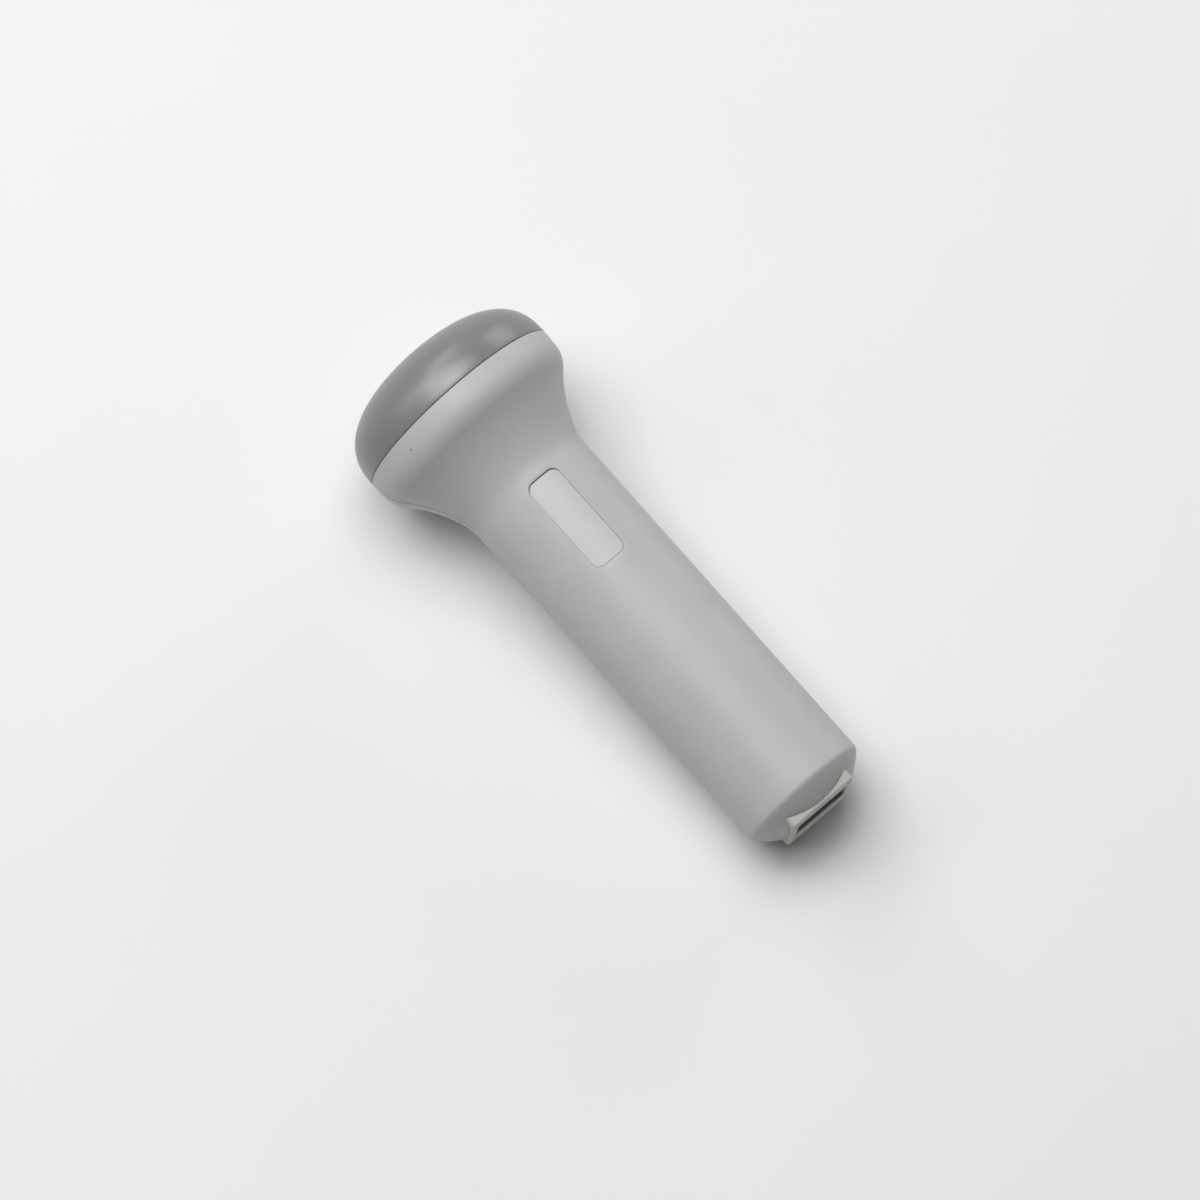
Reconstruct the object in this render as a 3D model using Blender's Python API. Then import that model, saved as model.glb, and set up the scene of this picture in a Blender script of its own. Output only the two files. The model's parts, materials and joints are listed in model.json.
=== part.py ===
"""Hand-held doppler probe: a domed sound window on a flared head, a straight round handle in two
half shells, a recessed name plate, and a cable socket in the domed end.

The pieces are modelled in the probe's own frame: X runs along the axis from the window to the
socket, with 0 at the seam of the head, and Z points up through the name plate. An empty then lays
the whole probe down on a level surface, on the head's rim and the handle's end.
"""

import math

import bmesh
import bpy
from mathutils import Vector

MM = 0.001

# Clearances, and how far a cutter runs past what it cuts
FIT_GAP = 0.3 * MM
SEAM_GAP = 0.25 * MM
SEAL_GAP = 0.2 * MM
BOND_GAP = 0.15 * MM
PART_SPACING = 1.0 * MM
OVERCUT = 1.0 * MM

# Cable socket: its mouth faces +X. The latch pocket is in the mouth's floor, behind a lip.
MOUTH_WIDTH = 12.2 * MM
MOUTH_HEIGHT = 7.4 * MM
MOUTH_DEPTH = 12.8 * MM
LATCH_WIDTH = 6.2 * MM
LATCH_DROP = 3.0 * MM
LATCH_DEPTH = 8.8 * MM
LATCH_LIP = 2.2 * MM
SOCKET_SIDE_WALL = 1.4 * MM
SOCKET_ROOF = 2.4 * MM
SOCKET_FLOOR = 3.2 * MM
SOCKET_BACK_WALL = 3.2 * MM
SOCKET_CORNER = 0.8 * MM
SOCKET_CHAMFER = 0.6 * MM
SOCKET_ROOM = 0.46 * MM
TAB_WIDTH = 8.0 * MM
TAB_LENGTH = 2.0 * MM
RIB_HEIGHT = 1.7 * MM
RIB_LENGTH = 1.6 * MM
SOCKET_WIDTH = MOUTH_WIDTH + 2 * SOCKET_SIDE_WALL
SOCKET_HEIGHT = SOCKET_ROOF + MOUTH_HEIGHT + LATCH_DROP + SOCKET_FLOOR
SOCKET_LENGTH = MOUTH_DEPTH + SOCKET_BACK_WALL
SOCKET_REACH = SOCKET_CORNER + math.hypot(
    SOCKET_WIDTH / 2 - SOCKET_CORNER, SOCKET_HEIGHT / 2 - SOCKET_CORNER
)
MOUTH_ROOF = SOCKET_HEIGHT / 2 - SOCKET_ROOF
MOUTH_FLOOR = MOUTH_ROOF - MOUTH_HEIGHT

# Insert that lines the mouth and holds the contacts
INSERT_WALL = 0.5 * MM
INSERT_BACK_WALL = 1.5 * MM
INSERT_INSET = 0.2 * MM
INSERT_ROOF = MOUTH_ROOF - BOND_GAP - INSERT_WALL
INSERT_FLOOR = MOUTH_FLOOR + BOND_GAP + INSERT_WALL

# Handle, bored to take the socket. Its draft is how much wider it is at the neck.
HANDLE_END = 98.35 * MM
HANDLE_WALL = 2.2 * MM
HANDLE_DRAFT = 0.25 * MM
HANDLE_BORE = SOCKET_REACH + SOCKET_ROOM
HANDLE_END_RADIUS = HANDLE_BORE + HANDLE_WALL
HANDLE_RADIUS = HANDLE_END_RADIUS + HANDLE_DRAFT
IN_WALL = HANDLE_BORE + HANDLE_WALL / 2

# Domed end, and how far the socket's face stays behind the tip that the full dome would have
RIM_ROUND = 1.6 * MM
END_DOME_RADIUS = 17.6 * MM
SOCKET_SETBACK = 1.2 * MM
END_DOME_CENTRE = HANDLE_END - math.sqrt(
    (END_DOME_RADIUS - RIM_ROUND) ** 2 - (HANDLE_END_RADIUS - RIM_ROUND) ** 2
)
DOME_TIP = END_DOME_CENTRE + END_DOME_RADIUS
SOCKET_FACE = DOME_TIP - SOCKET_SETBACK
MOUTH_BACK = SOCKET_FACE - MOUTH_DEPTH
SOCKET_BACK = SOCKET_FACE - SOCKET_LENGTH
RIB_START = SOCKET_BACK - FIT_GAP - RIB_LENGTH

# Head and neck, from the seam towards the handle. A fall is the angle that a surface drops by.
HEAD_RADIUS = 22.0 * MM
HEAD_WALL = 2.7 * MM
BAND_LENGTH = 3.4 * MM
BAND_FALL = math.radians(2.0)
SHOULDER_RADIUS = 6.5 * MM
SHOULDER_FALL = math.radians(42.0)
NECK_FALL = math.radians(19.0)
NECK_WALL = 2.3 * MM
CREASE_RADIUS = 3.5 * MM
EDGE_CHAMFER = 0.3 * MM
HEAD_BORE = HEAD_RADIUS - HEAD_WALL

# Sound window, which plugs into the head with a sealed spigot
CAP_DEPTH = 13.0 * MM
CAP_FULLNESS = 2.5
SPIGOT_LENGTH = 4.0 * MM
SPIGOT_WALL = 1.5 * MM
STOP_LEDGE = 1.7 * MM
SEAL_SECTION = 1.0 * MM
SEAL_FRONT_WALL = 1.0 * MM
SEAT_THICKNESS = 4.0 * MM
SEAT_INSET = 2.9 * MM
SPIGOT_RADIUS = HEAD_BORE - FIT_GAP
SEAL_ROOM = SEAL_SECTION + 2 * SEAL_GAP
GROOVE_FLOOR = HEAD_BORE - SEAL_ROOM
CAVITY_RADIUS = GROOVE_FLOOR - SPIGOT_WALL
SEAT_RADIUS = CAVITY_RADIUS - SEAT_INSET

# Sound stack, laid into the window from the front backwards
MATCHING_THICKNESS = 0.5 * MM
CRYSTAL_THICKNESS = 1.0 * MM
DIVIDER_WIDTH = 1.4 * MM
CARRIER_WALL = 1.3 * MM
CARRIER_LENGTH = 3.0 * MM
PAD_THICKNESS = 2.0 * MM
SCREEN_THICKNESS = 0.4 * MM
SCREEN_SKIRT = 1.5 * MM
RETAINER_LENGTH = 3.0 * MM
RETAINER_WALL = 6.0 * MM
SEAT_STATION = -SEAM_GAP - CAP_DEPTH + SEAT_THICKNESS
MATCHING_STATION = SEAT_STATION + FIT_GAP
CRYSTAL_STATION = MATCHING_STATION + MATCHING_THICKNESS + FIT_GAP
PAD_STATION = CRYSTAL_STATION + CRYSTAL_THICKNESS + FIT_GAP
SCREEN_STATION = PAD_STATION + PAD_THICKNESS + FIT_GAP
RETAINER_STATION = SCREEN_STATION + SCREEN_THICKNESS + FIT_GAP
CARRIER_RADIUS = SEAT_RADIUS - FIT_GAP
PLATE_RADIUS = CARRIER_RADIUS - CARRIER_WALL - FIT_GAP

# Name plate: its setback is from the start of the straight handle
LABEL_SETBACK = 2.6 * MM
LABEL_LENGTH = 20.9 * MM
LABEL_WIDTH = 7.3 * MM
LABEL_CORNER = 1.7 * MM
LABEL_RECESS = 0.7 * MM
LABEL_THICKNESS = 0.4 * MM
LABEL_BORDER = 0.2 * MM

# Contacts
CONTACT_COUNT = 8
CONTACT_PITCH = 1.02 * MM
CONTACT_WIDTH = 0.5 * MM
CONTACT_THICKNESS = 0.25 * MM
CONTACT_BOW = 0.5 * MM
CONTACT_FOOT = 2.6 * MM
BOW_SETBACK = 2.0 * MM
CONTACT_LEVEL = INSERT_ROOF - FIT_GAP - CONTACT_THICKNESS / 2

# Screws
BOARD_SCREW_RADIUS = 1.0 * MM
BOARD_SCREW_LENGTH = 5.0 * MM
BOARD_HEAD_RADIUS = 2.0 * MM
POST_WALL = 1.0 * MM
CASE_SCREW_SETBACK = 2.8 * MM
CASE_SCREW_RADIUS = 1.2 * MM
CASE_SCREW_LENGTH = 15.5 * MM
CASE_HEAD_RADIUS = 2.2 * MM
SCREW_HEAD_HEIGHT = 1.5 * MM
HEAD_SINK = 2.0 * MM
BOSS_WALL = 1.1 * MM
BOSS_RADIUS = CASE_HEAD_RADIUS + FIT_GAP + BOSS_WALL
POST_RADIUS = BOARD_SCREW_RADIUS + FIT_GAP + POST_WALL
CASE_SEAT = HANDLE_RADIUS - HEAD_SINK - SCREW_HEAD_HEIGHT - FIT_GAP

# Circuit board, as wide as the bore allows
BOARD_THICKNESS = 1.6 * MM
BOARD_TOP = -4.0 * MM
BOARD_UNDERSIDE = BOARD_TOP - BOARD_THICKNESS
BOARD_END = RIB_START - FIT_GAP
BOARD_WIDTH = 2 * math.sqrt((HANDLE_BORE - FIT_GAP) ** 2 - BOARD_UNDERSIDE**2)
FOOTING = BOARD_TOP + BOND_GAP

# Components on the board: length along the probe, width, height
CHIP_CAPACITOR_SIZE = (2.0 * MM, 1.2 * MM, 0.9 * MM)
CHIP_CAPACITOR_COUNT = 4
CAN_SIZE = (12.0 * MM, 12.0 * MM, 3.2 * MM)
CAN_WALL = 0.35 * MM
AMPLIFIER_SIZE = (7.0 * MM, 6.0 * MM, 1.6 * MM)
DRIVER_SIZE = (7.5 * MM, 6.0 * MM, 1.6 * MM)
RESONATOR_SIZE = (7.5 * MM, 4.0 * MM, 3.5 * MM)
COIL_RADIUS = 3.5 * MM
COIL_HEIGHT = 6.0 * MM
RESERVOIR_RADIUS = 3.1 * MM
RESERVOIR_HEIGHT = 7.0 * MM

# Leads, which pass beside the first boss and land on the board's head end
LEAD_DIAMETER = 1.2 * MM
LEAD_OFFSET = 5.0 * MM
LEAD_LANDING = 6.0 * MM
LEAD_SIDE = BOSS_RADIUS + PART_SPACING + LEAD_DIAMETER / 2

# Looks: colour, roughness, metallic
LOOKS = {
    "shell_plastic": ((0.50, 0.50, 0.49), 0.5, 0.0),
    "cap_plastic": ((0.30, 0.31, 0.31), 0.38, 0.0),
    "label_film": ((0.62, 0.63, 0.66), 0.45, 0.0),
    "socket_plastic": ((0.58, 0.58, 0.56), 0.45, 0.0),
    "insert_plastic": ((0.02, 0.02, 0.02), 0.5, 0.0),
    "seal_rubber": ((0.03, 0.03, 0.03), 0.7, 0.0),
    "matching_resin": ((0.45, 0.35, 0.20), 0.4, 0.0),
    "piezo_ceramic": ((0.72, 0.68, 0.58), 0.45, 0.0),
    "divider_cork": ((0.45, 0.30, 0.18), 0.9, 0.0),
    "carrier_plastic": ((0.75, 0.74, 0.70), 0.5, 0.0),
    "pad_foam": ((0.12, 0.12, 0.13), 0.95, 0.0),
    "screen_copper": ((0.72, 0.42, 0.27), 0.35, 1.0),
    "lead_sleeve": ((0.55, 0.56, 0.58), 0.5, 0.0),
    "screw_steel": ((0.55, 0.55, 0.56), 0.35, 1.0),
    "board_laminate": ((0.05, 0.25, 0.12), 0.5, 0.0),
    "chip_resin": ((0.04, 0.04, 0.045), 0.55, 0.0),
    "can_tinplate": ((0.66, 0.66, 0.64), 0.3, 1.0),
    "coil_ferrite": ((0.10, 0.10, 0.11), 0.6, 0.0),
    "capacitor_sleeve": ((0.08, 0.10, 0.22), 0.4, 0.0),
    "capacitor_ceramic": ((0.50, 0.38, 0.25), 0.5, 0.0),
    "contact_gold": ((0.85, 0.62, 0.25), 0.25, 1.0),
}

# Sides of the turned pieces
SEGMENTS = 56
STACK_SEGMENTS = 40
SMALL_SEGMENTS = 16
LEAST_LENGTH = 1e-7


def clear_scene():
    for obj in list(bpy.data.objects):
        bpy.data.objects.remove(obj, do_unlink=True)


def material(name):
    """The material of a name in the table of looks, made when it is first asked for."""
    found = bpy.data.materials.get(name)
    if found:
        return found
    colour, roughness, metallic = LOOKS[name]
    made = bpy.data.materials.new(name)
    made.use_nodes = True
    shader = made.node_tree.nodes["Principled BSDF"]
    shader.inputs["Base Color"].default_value = (*colour, 1.0)
    shader.inputs["Roughness"].default_value = roughness
    shader.inputs["Metallic"].default_value = metallic
    made.diffuse_color = (*colour, 1.0)
    return made


def add_object(name, bm, look=None):
    """Turns a bmesh into an object of the probe. One with no look is a cutter or a guide."""
    bmesh.ops.remove_doubles(bm, verts=bm.verts, dist=LEAST_LENGTH)
    bmesh.ops.recalc_face_normals(bm, faces=bm.faces)
    mesh = bpy.data.meshes.new(name)
    bm.to_mesh(mesh)
    bm.free()
    mesh.shade_smooth()
    mesh.set_sharp_from_angle(angle=math.radians(25.0))
    obj = bpy.data.objects.new(name, mesh)
    bpy.context.scene.collection.objects.link(obj)
    obj.parent = bpy.data.objects["probe_axis"]
    if look:
        mesh.materials.append(material(look))
    else:
        obj.hide_render = True
        obj.display_type = "WIRE"
    return obj


def boolean(target, operation, tool):
    modifier = target.modifiers.new(tool.name, "BOOLEAN")
    modifier.operation = operation
    modifier.solver = "EXACT"
    modifier.object = tool


def turned(name, profile, look=None, segments=SEGMENTS):
    """Solid of revolution about X from (x, radius) points, as a closed loop or from axis to axis.

    A flat of the turned surface faces +Z, -Z, +Y and -Y.
    """
    bm = bmesh.new()
    half_flat = math.pi / segments
    verts = [bm.verts.new((x, r * math.sin(half_flat), r * math.cos(half_flat))) for x, r in profile]
    pairs = list(zip(verts, verts[1:]))
    if profile[0][1] > LEAST_LENGTH:
        pairs.append((verts[-1], verts[0]))
    edges = [bm.edges.new(pair) for pair in pairs]
    bmesh.ops.spin(
        bm,
        geom=verts + edges,
        axis=(1, 0, 0),
        cent=(0, 0, 0),
        angle=2.0 * math.pi,
        steps=segments,
        use_merge=True,
    )
    return add_object(name, bm, look)


def disc(start, thickness, radius, opening=0.0):
    """Section of a flat disc or ring."""
    end = start + thickness
    return [(start, opening), (start, radius), (end, radius), (end, opening)]


def extruded(name, outline, direction, look=None):
    """Solid made by pushing a flat outline of 3-D points along a direction."""
    bm = bmesh.new()
    face = bm.faces.new([bm.verts.new(point) for point in outline])
    grown = bmesh.ops.extrude_face_region(bm, geom=[face])
    moved = [item for item in grown["geom"] if isinstance(item, bmesh.types.BMVert)]
    bmesh.ops.translate(bm, verts=moved, vec=direction)
    return add_object(name, bm, look)


def block(name, low, high, look=None):
    """Rectangular solid between two corners."""
    outline = [
        (low[0], low[1], low[2]),
        (high[0], low[1], low[2]),
        (high[0], high[1], low[2]),
        (low[0], high[1], low[2]),
    ]
    return extruded(name, outline, (0, 0, high[2] - low[2]), look)


def upright_cylinder(name, place, low, high, radius, look=None):
    """Cylinder along Z at a place (x, y), between two levels."""
    turns = [2.0 * math.pi * (step + 0.5) / SMALL_SEGMENTS for step in range(SMALL_SEGMENTS)]
    outline = [
        (place[0] + radius * math.cos(turn), place[1] + radius * math.sin(turn), low)
        for turn in turns
    ]
    return extruded(name, outline, (0, 0, high - low), look)


def rounded_rectangle(length, width, corner, steps):
    """Outline of a rectangle with round corners, centred on (0, 0)."""
    points = []
    for quarter, (side_x, side_y) in enumerate(((1, 1), (-1, 1), (-1, -1), (1, -1))):
        for step in range(steps + 1):
            angle = (quarter + step / steps) * math.pi / 2
            x = side_x * (length / 2 - corner) + corner * math.cos(angle)
            y = side_y * (width / 2 - corner) + corner * math.sin(angle)
            points.append((x, y))
    return points


def arc(start, radius, from_fall, to_fall, steps):
    """Points (x, r, fall) that leave start along a round curve, as its fall goes from one angle to
    another. The start itself is left out."""
    bend = 1.0 if to_fall > from_fall else -1.0
    centre_x = start[0] - bend * radius * math.sin(from_fall)
    centre_r = start[1] - bend * radius * math.cos(from_fall)
    points = []
    for step in range(1, steps + 1):
        fall = from_fall + (to_fall - from_fall) * step / steps
        x = centre_x + bend * radius * math.sin(fall)
        r = centre_r + bend * radius * math.cos(fall)
        points.append((x, r, fall))
    return points


def head_curve():
    """Outer line of the head: a band that falls slightly, then a round shoulder."""
    band_end = (BAND_LENGTH, HEAD_RADIUS - BAND_LENGTH * math.tan(BAND_FALL), BAND_FALL)
    return [band_end] + arc(band_end, SHOULDER_RADIUS, BAND_FALL, SHOULDER_FALL, 6)


def neck_curve():
    """Outer line of the neck: a hollow flare that meets the handle in a soft crease."""
    start = head_curve()[-1]
    crease_drop = CREASE_RADIUS * (1.0 - math.cos(NECK_FALL))
    drop = start[1] - HANDLE_RADIUS - crease_drop
    flare_radius = drop / (math.cos(NECK_FALL) - math.cos(SHOULDER_FALL))
    flare = arc(start, flare_radius, SHOULDER_FALL, NECK_FALL, 5)
    return flare + arc(flare[-1], CREASE_RADIUS, NECK_FALL, 0.0, 2)


def end_curve():
    """Outer line of the handle's rounded rim and domed end, as far as the dome's tip."""
    dome_fall = math.acos((HANDLE_END_RADIUS - RIM_ROUND) / (END_DOME_RADIUS - RIM_ROUND))
    rim = arc((HANDLE_END, HANDLE_END_RADIUS), RIM_ROUND, 0.0, dome_fall, 2)
    return rim + arc(rim[-1], END_DOME_RADIUS, dome_fall, math.pi / 2, 7)


def handle_start():
    return neck_curve()[-1][0]


def inner_dome_station(radius):
    """Where the inside of the domed end is, at a distance from the axis."""
    return END_DOME_CENTRE + math.sqrt((END_DOME_RADIUS - HANDLE_WALL) ** 2 - radius**2)


def shell_profile():
    """Closed line round the section of the casing: from the inner tip of the domed end to the
    head's bore, then back along the outside."""
    inner = [(inner_dome_station(0.0), 0.0)]
    inner_steps = 5
    inner_radius = END_DOME_RADIUS - HANDLE_WALL
    for step in range(1, inner_steps + 1):
        radius = inner_radius * math.sin(math.asin(HANDLE_BORE / inner_radius) * step / inner_steps)
        inner.append((inner_dome_station(radius), radius))
    inner += [
        (RIB_START + RIB_LENGTH, HANDLE_BORE),
        (RIB_START + RIB_LENGTH, HANDLE_BORE - RIB_HEIGHT),
        (RIB_START, HANDLE_BORE - RIB_HEIGHT),
        (RIB_START, HANDLE_BORE),
        (handle_start(), HANDLE_BORE),
    ]
    stop_radius = HEAD_BORE - STOP_LEDGE
    for x, r, fall in reversed(neck_curve()):
        offset = (x - NECK_WALL * math.sin(fall), r - NECK_WALL * math.cos(fall))
        if HANDLE_BORE + FIT_GAP < offset[1] < stop_radius - FIT_GAP:
            inner.append(offset)
    spigot_end = SPIGOT_LENGTH + FIT_GAP
    inner += [(spigot_end, stop_radius), (spigot_end, HEAD_BORE), (0.0, HEAD_BORE)]

    outer = [(0.0, HEAD_RADIUS - EDGE_CHAMFER), (EDGE_CHAMFER, HEAD_RADIUS)]
    outer += [(x, r) for x, r, _ in head_curve() + neck_curve()]
    outer.append((HANDLE_END, HANDLE_END_RADIUS))
    outer += [(x, r) for x, r, _ in end_curve()[:-1]]
    return inner + outer + [(DOME_TIP, 0.0)]


def window_line():
    """Outer line of the sound window, from its tip to the seam: a full, flattened dome."""
    steps = 12
    line = [(-SEAM_GAP - CAP_DEPTH, 0.0)]
    for step in range(1, steps):
        angle = math.pi / 2 * (1.0 - step / steps)
        depth = CAP_DEPTH * math.sin(angle) ** (2.0 / CAP_FULLNESS)
        radius = HEAD_RADIUS * math.cos(angle) ** (2.0 / CAP_FULLNESS)
        line.append((-SEAM_GAP - depth, radius))
    line.append((-SEAM_GAP - EDGE_CHAMFER, HEAD_RADIUS))
    line.append((-SEAM_GAP, HEAD_RADIUS - EDGE_CHAMFER))
    return line


def make_face_cap():
    groove_end = SEAL_FRONT_WALL + SEAL_ROOM
    profile = window_line() + [
        (-SEAM_GAP, SPIGOT_RADIUS),
        (SEAL_FRONT_WALL, SPIGOT_RADIUS),
        (SEAL_FRONT_WALL, GROOVE_FLOOR),
        (groove_end, GROOVE_FLOOR),
        (groove_end, SPIGOT_RADIUS),
        (SPIGOT_LENGTH, SPIGOT_RADIUS),
        (SPIGOT_LENGTH, CAVITY_RADIUS),
        (RETAINER_STATION - FIT_GAP, CAVITY_RADIUS),
        (SEAT_STATION, SEAT_RADIUS),
        (SEAT_STATION, 0.0),
    ]
    turned("face_cap", profile, "cap_plastic")


def make_cap_seal():
    centre = (SEAL_FRONT_WALL + SEAL_ROOM / 2, HEAD_BORE - SEAL_ROOM / 2)
    sides = 6
    profile = []
    for side in range(sides):
        turn = 2.0 * math.pi * side / sides
        x = centre[0] + SEAL_SECTION / 2 * math.sin(turn)
        profile.append((x, centre[1] + SEAL_SECTION / 2 * math.cos(turn)))
    turned("cap_seal", profile, "seal_rubber")


def make_crystal(name, side):
    """Half-disc of piezo ceramic on one side of the divider."""
    steps = 14
    reach = math.acos((DIVIDER_WIDTH / 2 + FIT_GAP) / PLATE_RADIUS)
    outline = []
    for step in range(steps + 1):
        turn = reach * (1.0 - 2.0 * step / steps)
        y = side * PLATE_RADIUS * math.cos(turn)
        outline.append((CRYSTAL_STATION, y, PLATE_RADIUS * math.sin(turn)))
    extruded(name, outline, (CRYSTAL_THICKNESS, 0, 0), "piezo_ceramic")


def lead_hole(name, side):
    """Cutter for a lead's hole through the foam pad and the screen."""
    sides = 10
    radius = LEAD_DIAMETER / 2 + FIT_GAP
    start = PAD_STATION - FIT_GAP
    outline = []
    for step in range(sides):
        turn = 2.0 * math.pi * step / sides
        outline.append((start, side + radius * math.cos(turn), radius * math.sin(turn)))
    return extruded(name, outline, (RETAINER_STATION - start, 0, 0))


def make_sound_stack():
    """Everything that is laid into the window, from the front backwards."""
    matching = disc(MATCHING_STATION, MATCHING_THICKNESS, PLATE_RADIUS)
    turned("matching_layer", matching, "matching_resin", STACK_SEGMENTS)

    make_crystal("transmit_crystal", 1.0)
    make_crystal("receive_crystal", -1.0)
    half_height = math.sqrt(PLATE_RADIUS**2 - (DIVIDER_WIDTH / 2) ** 2)
    block(
        "acoustic_divider",
        (CRYSTAL_STATION, -DIVIDER_WIDTH / 2, -half_height),
        (CRYSTAL_STATION + CRYSTAL_THICKNESS, DIVIDER_WIDTH / 2, half_height),
        "divider_cork",
    )

    carrier = disc(MATCHING_STATION, CARRIER_LENGTH, CARRIER_RADIUS, CARRIER_RADIUS - CARRIER_WALL)
    turned("crystal_carrier", carrier, "carrier_plastic", STACK_SEGMENTS)

    pad_section = disc(PAD_STATION, PAD_THICKNESS, PLATE_RADIUS)
    pad = turned("backing_pad", pad_section, "pad_foam", STACK_SEGMENTS)

    screen_inner = CARRIER_RADIUS + FIT_GAP
    screen_outer = screen_inner + SCREEN_THICKNESS
    screen_end = SCREEN_STATION + SCREEN_THICKNESS
    screen_section = [
        (SCREEN_STATION, 0.0),
        (SCREEN_STATION, screen_inner),
        (SCREEN_STATION - SCREEN_SKIRT, screen_inner),
        (SCREEN_STATION - SCREEN_SKIRT, screen_outer),
        (screen_end, screen_outer),
        (screen_end, 0.0),
    ]
    screen = turned("screen_cup", screen_section, "screen_copper", STACK_SEGMENTS)

    retainer_radius = CAVITY_RADIUS - FIT_GAP
    retainer_opening = retainer_radius - RETAINER_WALL
    retainer = disc(RETAINER_STATION, RETAINER_LENGTH, retainer_radius, retainer_opening)
    turned("retaining_ring", retainer, "carrier_plastic", STACK_SEGMENTS)

    for name, side in (("transmit_lead_hole", LEAD_OFFSET), ("receive_lead_hole", -LEAD_OFFSET)):
        hole = lead_hole(name, side)
        boolean(pad, "DIFFERENCE", hole)
        boolean(screen, "DIFFERENCE", hole)


def layout():
    """Stations along the probe. On the board, each row follows the one before it."""
    stations = {"case_screw_1": handle_start() + CASE_SCREW_SETBACK}
    stations["board_start"] = stations["case_screw_1"] + BOSS_RADIUS + PART_SPACING
    rows = (
        ("board_screw_1", 2 * BOARD_HEAD_RADIUS),
        ("chip_capacitors", CHIP_CAPACITOR_SIZE[0]),
        ("receiver", CAN_SIZE[0]),
        ("driver", max(DRIVER_SIZE[0], RESONATOR_SIZE[0])),
        ("case_screw_2", 2 * (BOSS_RADIUS + FIT_GAP)),
        ("coil", 2 * max(COIL_RADIUS, RESERVOIR_RADIUS)),
        ("board_screw_2", 2 * BOARD_HEAD_RADIUS),
    )
    end = stations["board_start"]
    for name, length in rows:
        stations[name] = end + PART_SPACING + length / 2
        end += PART_SPACING + length
    return stations


def smooth_route(points, steps):
    """Points along a smooth curve through the route's own points."""
    ends = [points[0] * 2 - points[1]] + points + [points[-1] * 2 - points[-2]]
    route = []
    for a, b, c, d in zip(ends, ends[1:], ends[2:], ends[3:]):
        for step in range(steps):
            t = step / steps
            slope_part = (c - a) * t
            square_part = (2 * a - 5 * b + 4 * c - d) * t**2
            cube_part = (3 * b - a - 3 * c + d) * t**3
            route.append((2 * b + slope_part + square_part + cube_part) / 2)
    return route + [points[-1]]


def make_lead(name, side):
    """Lead from the back of a plate, past the first boss, to the board's head end."""
    boss = layout()["case_screw_1"]
    board = layout()["board_start"]
    landing = FOOTING + LEAD_DIAMETER / 2
    route = [
        Vector((PAD_STATION, side * LEAD_OFFSET, 0.0)),
        Vector((RETAINER_STATION + RETAINER_LENGTH, side * LEAD_OFFSET, 0.0)),
        Vector((SPIGOT_LENGTH, side * (LEAD_OFFSET + LEAD_SIDE) / 2, LEAD_DIAMETER)),
        Vector((boss - BOSS_RADIUS, side * LEAD_SIDE, 0.0)),
        Vector((board, side * LEAD_SIDE, landing + LEAD_DIAMETER)),
        Vector((board + LEAD_LANDING / 2, side * LEAD_SIDE, landing)),
        Vector((board + LEAD_LANDING, side * LEAD_SIDE, landing)),
    ]
    points = smooth_route(route, 4)
    curve = bpy.data.curves.new(name, "CURVE")
    curve.dimensions = "3D"
    curve.bevel_depth = LEAD_DIAMETER / 2
    curve.bevel_resolution = 2
    curve.use_fill_caps = True
    spline = curve.splines.new("POLY")
    spline.points.add(len(points) - 1)
    for spot, point in zip(spline.points, points):
        spot.co = (*point, 1.0)
    curve.materials.append(material("lead_sleeve"))
    lead = bpy.data.objects.new(name, curve)
    bpy.context.scene.collection.objects.link(lead)
    lead.parent = bpy.data.objects["probe_axis"]


def label_middle():
    return handle_start() + LABEL_SETBACK + LABEL_LENGTH / 2


def label_floor():
    """Radius of the recess's floor, measured from the handle's surface at its middle."""
    share = (label_middle() - handle_start()) / (HANDLE_END - handle_start())
    return HANDLE_RADIUS - HANDLE_DRAFT * share - LABEL_RECESS


def label_prism(name, inset, look=None):
    """Upright block with the outline of the name plate, drawn in by an inset."""
    flat = rounded_rectangle(LABEL_LENGTH - 2 * inset, LABEL_WIDTH - 2 * inset, LABEL_CORNER - inset, 5)
    outline = [(label_middle() + x, y, HANDLE_BORE / 2) for x, y in flat]
    return extruded(name, outline, (0, 0, HANDLE_RADIUS), look)


def label_core(name, radius):
    """Guide along the axis that gives the name plate or its recess a curved face."""
    length = LABEL_LENGTH + 2 * OVERCUT
    return turned(name, disc(label_middle() - length / 2, length, radius))


def make_label():
    underside = label_floor() + BOND_GAP
    plate = label_prism("label", LABEL_BORDER, "label_film")
    boolean(plate, "INTERSECT", label_core("label_top", underside + LABEL_THICKNESS))
    boolean(plate, "DIFFERENCE", label_core("label_underside", underside))


def socket_outline(grow, station):
    """Rounded outline of the socket's block at a station, grown by a margin."""
    width = SOCKET_WIDTH + 2 * grow
    height = SOCKET_HEIGHT + 2 * grow
    flat = rounded_rectangle(width, height, SOCKET_CORNER + max(grow, 0.0), 3)
    return [(station, y, z) for y, z in flat]


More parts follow.
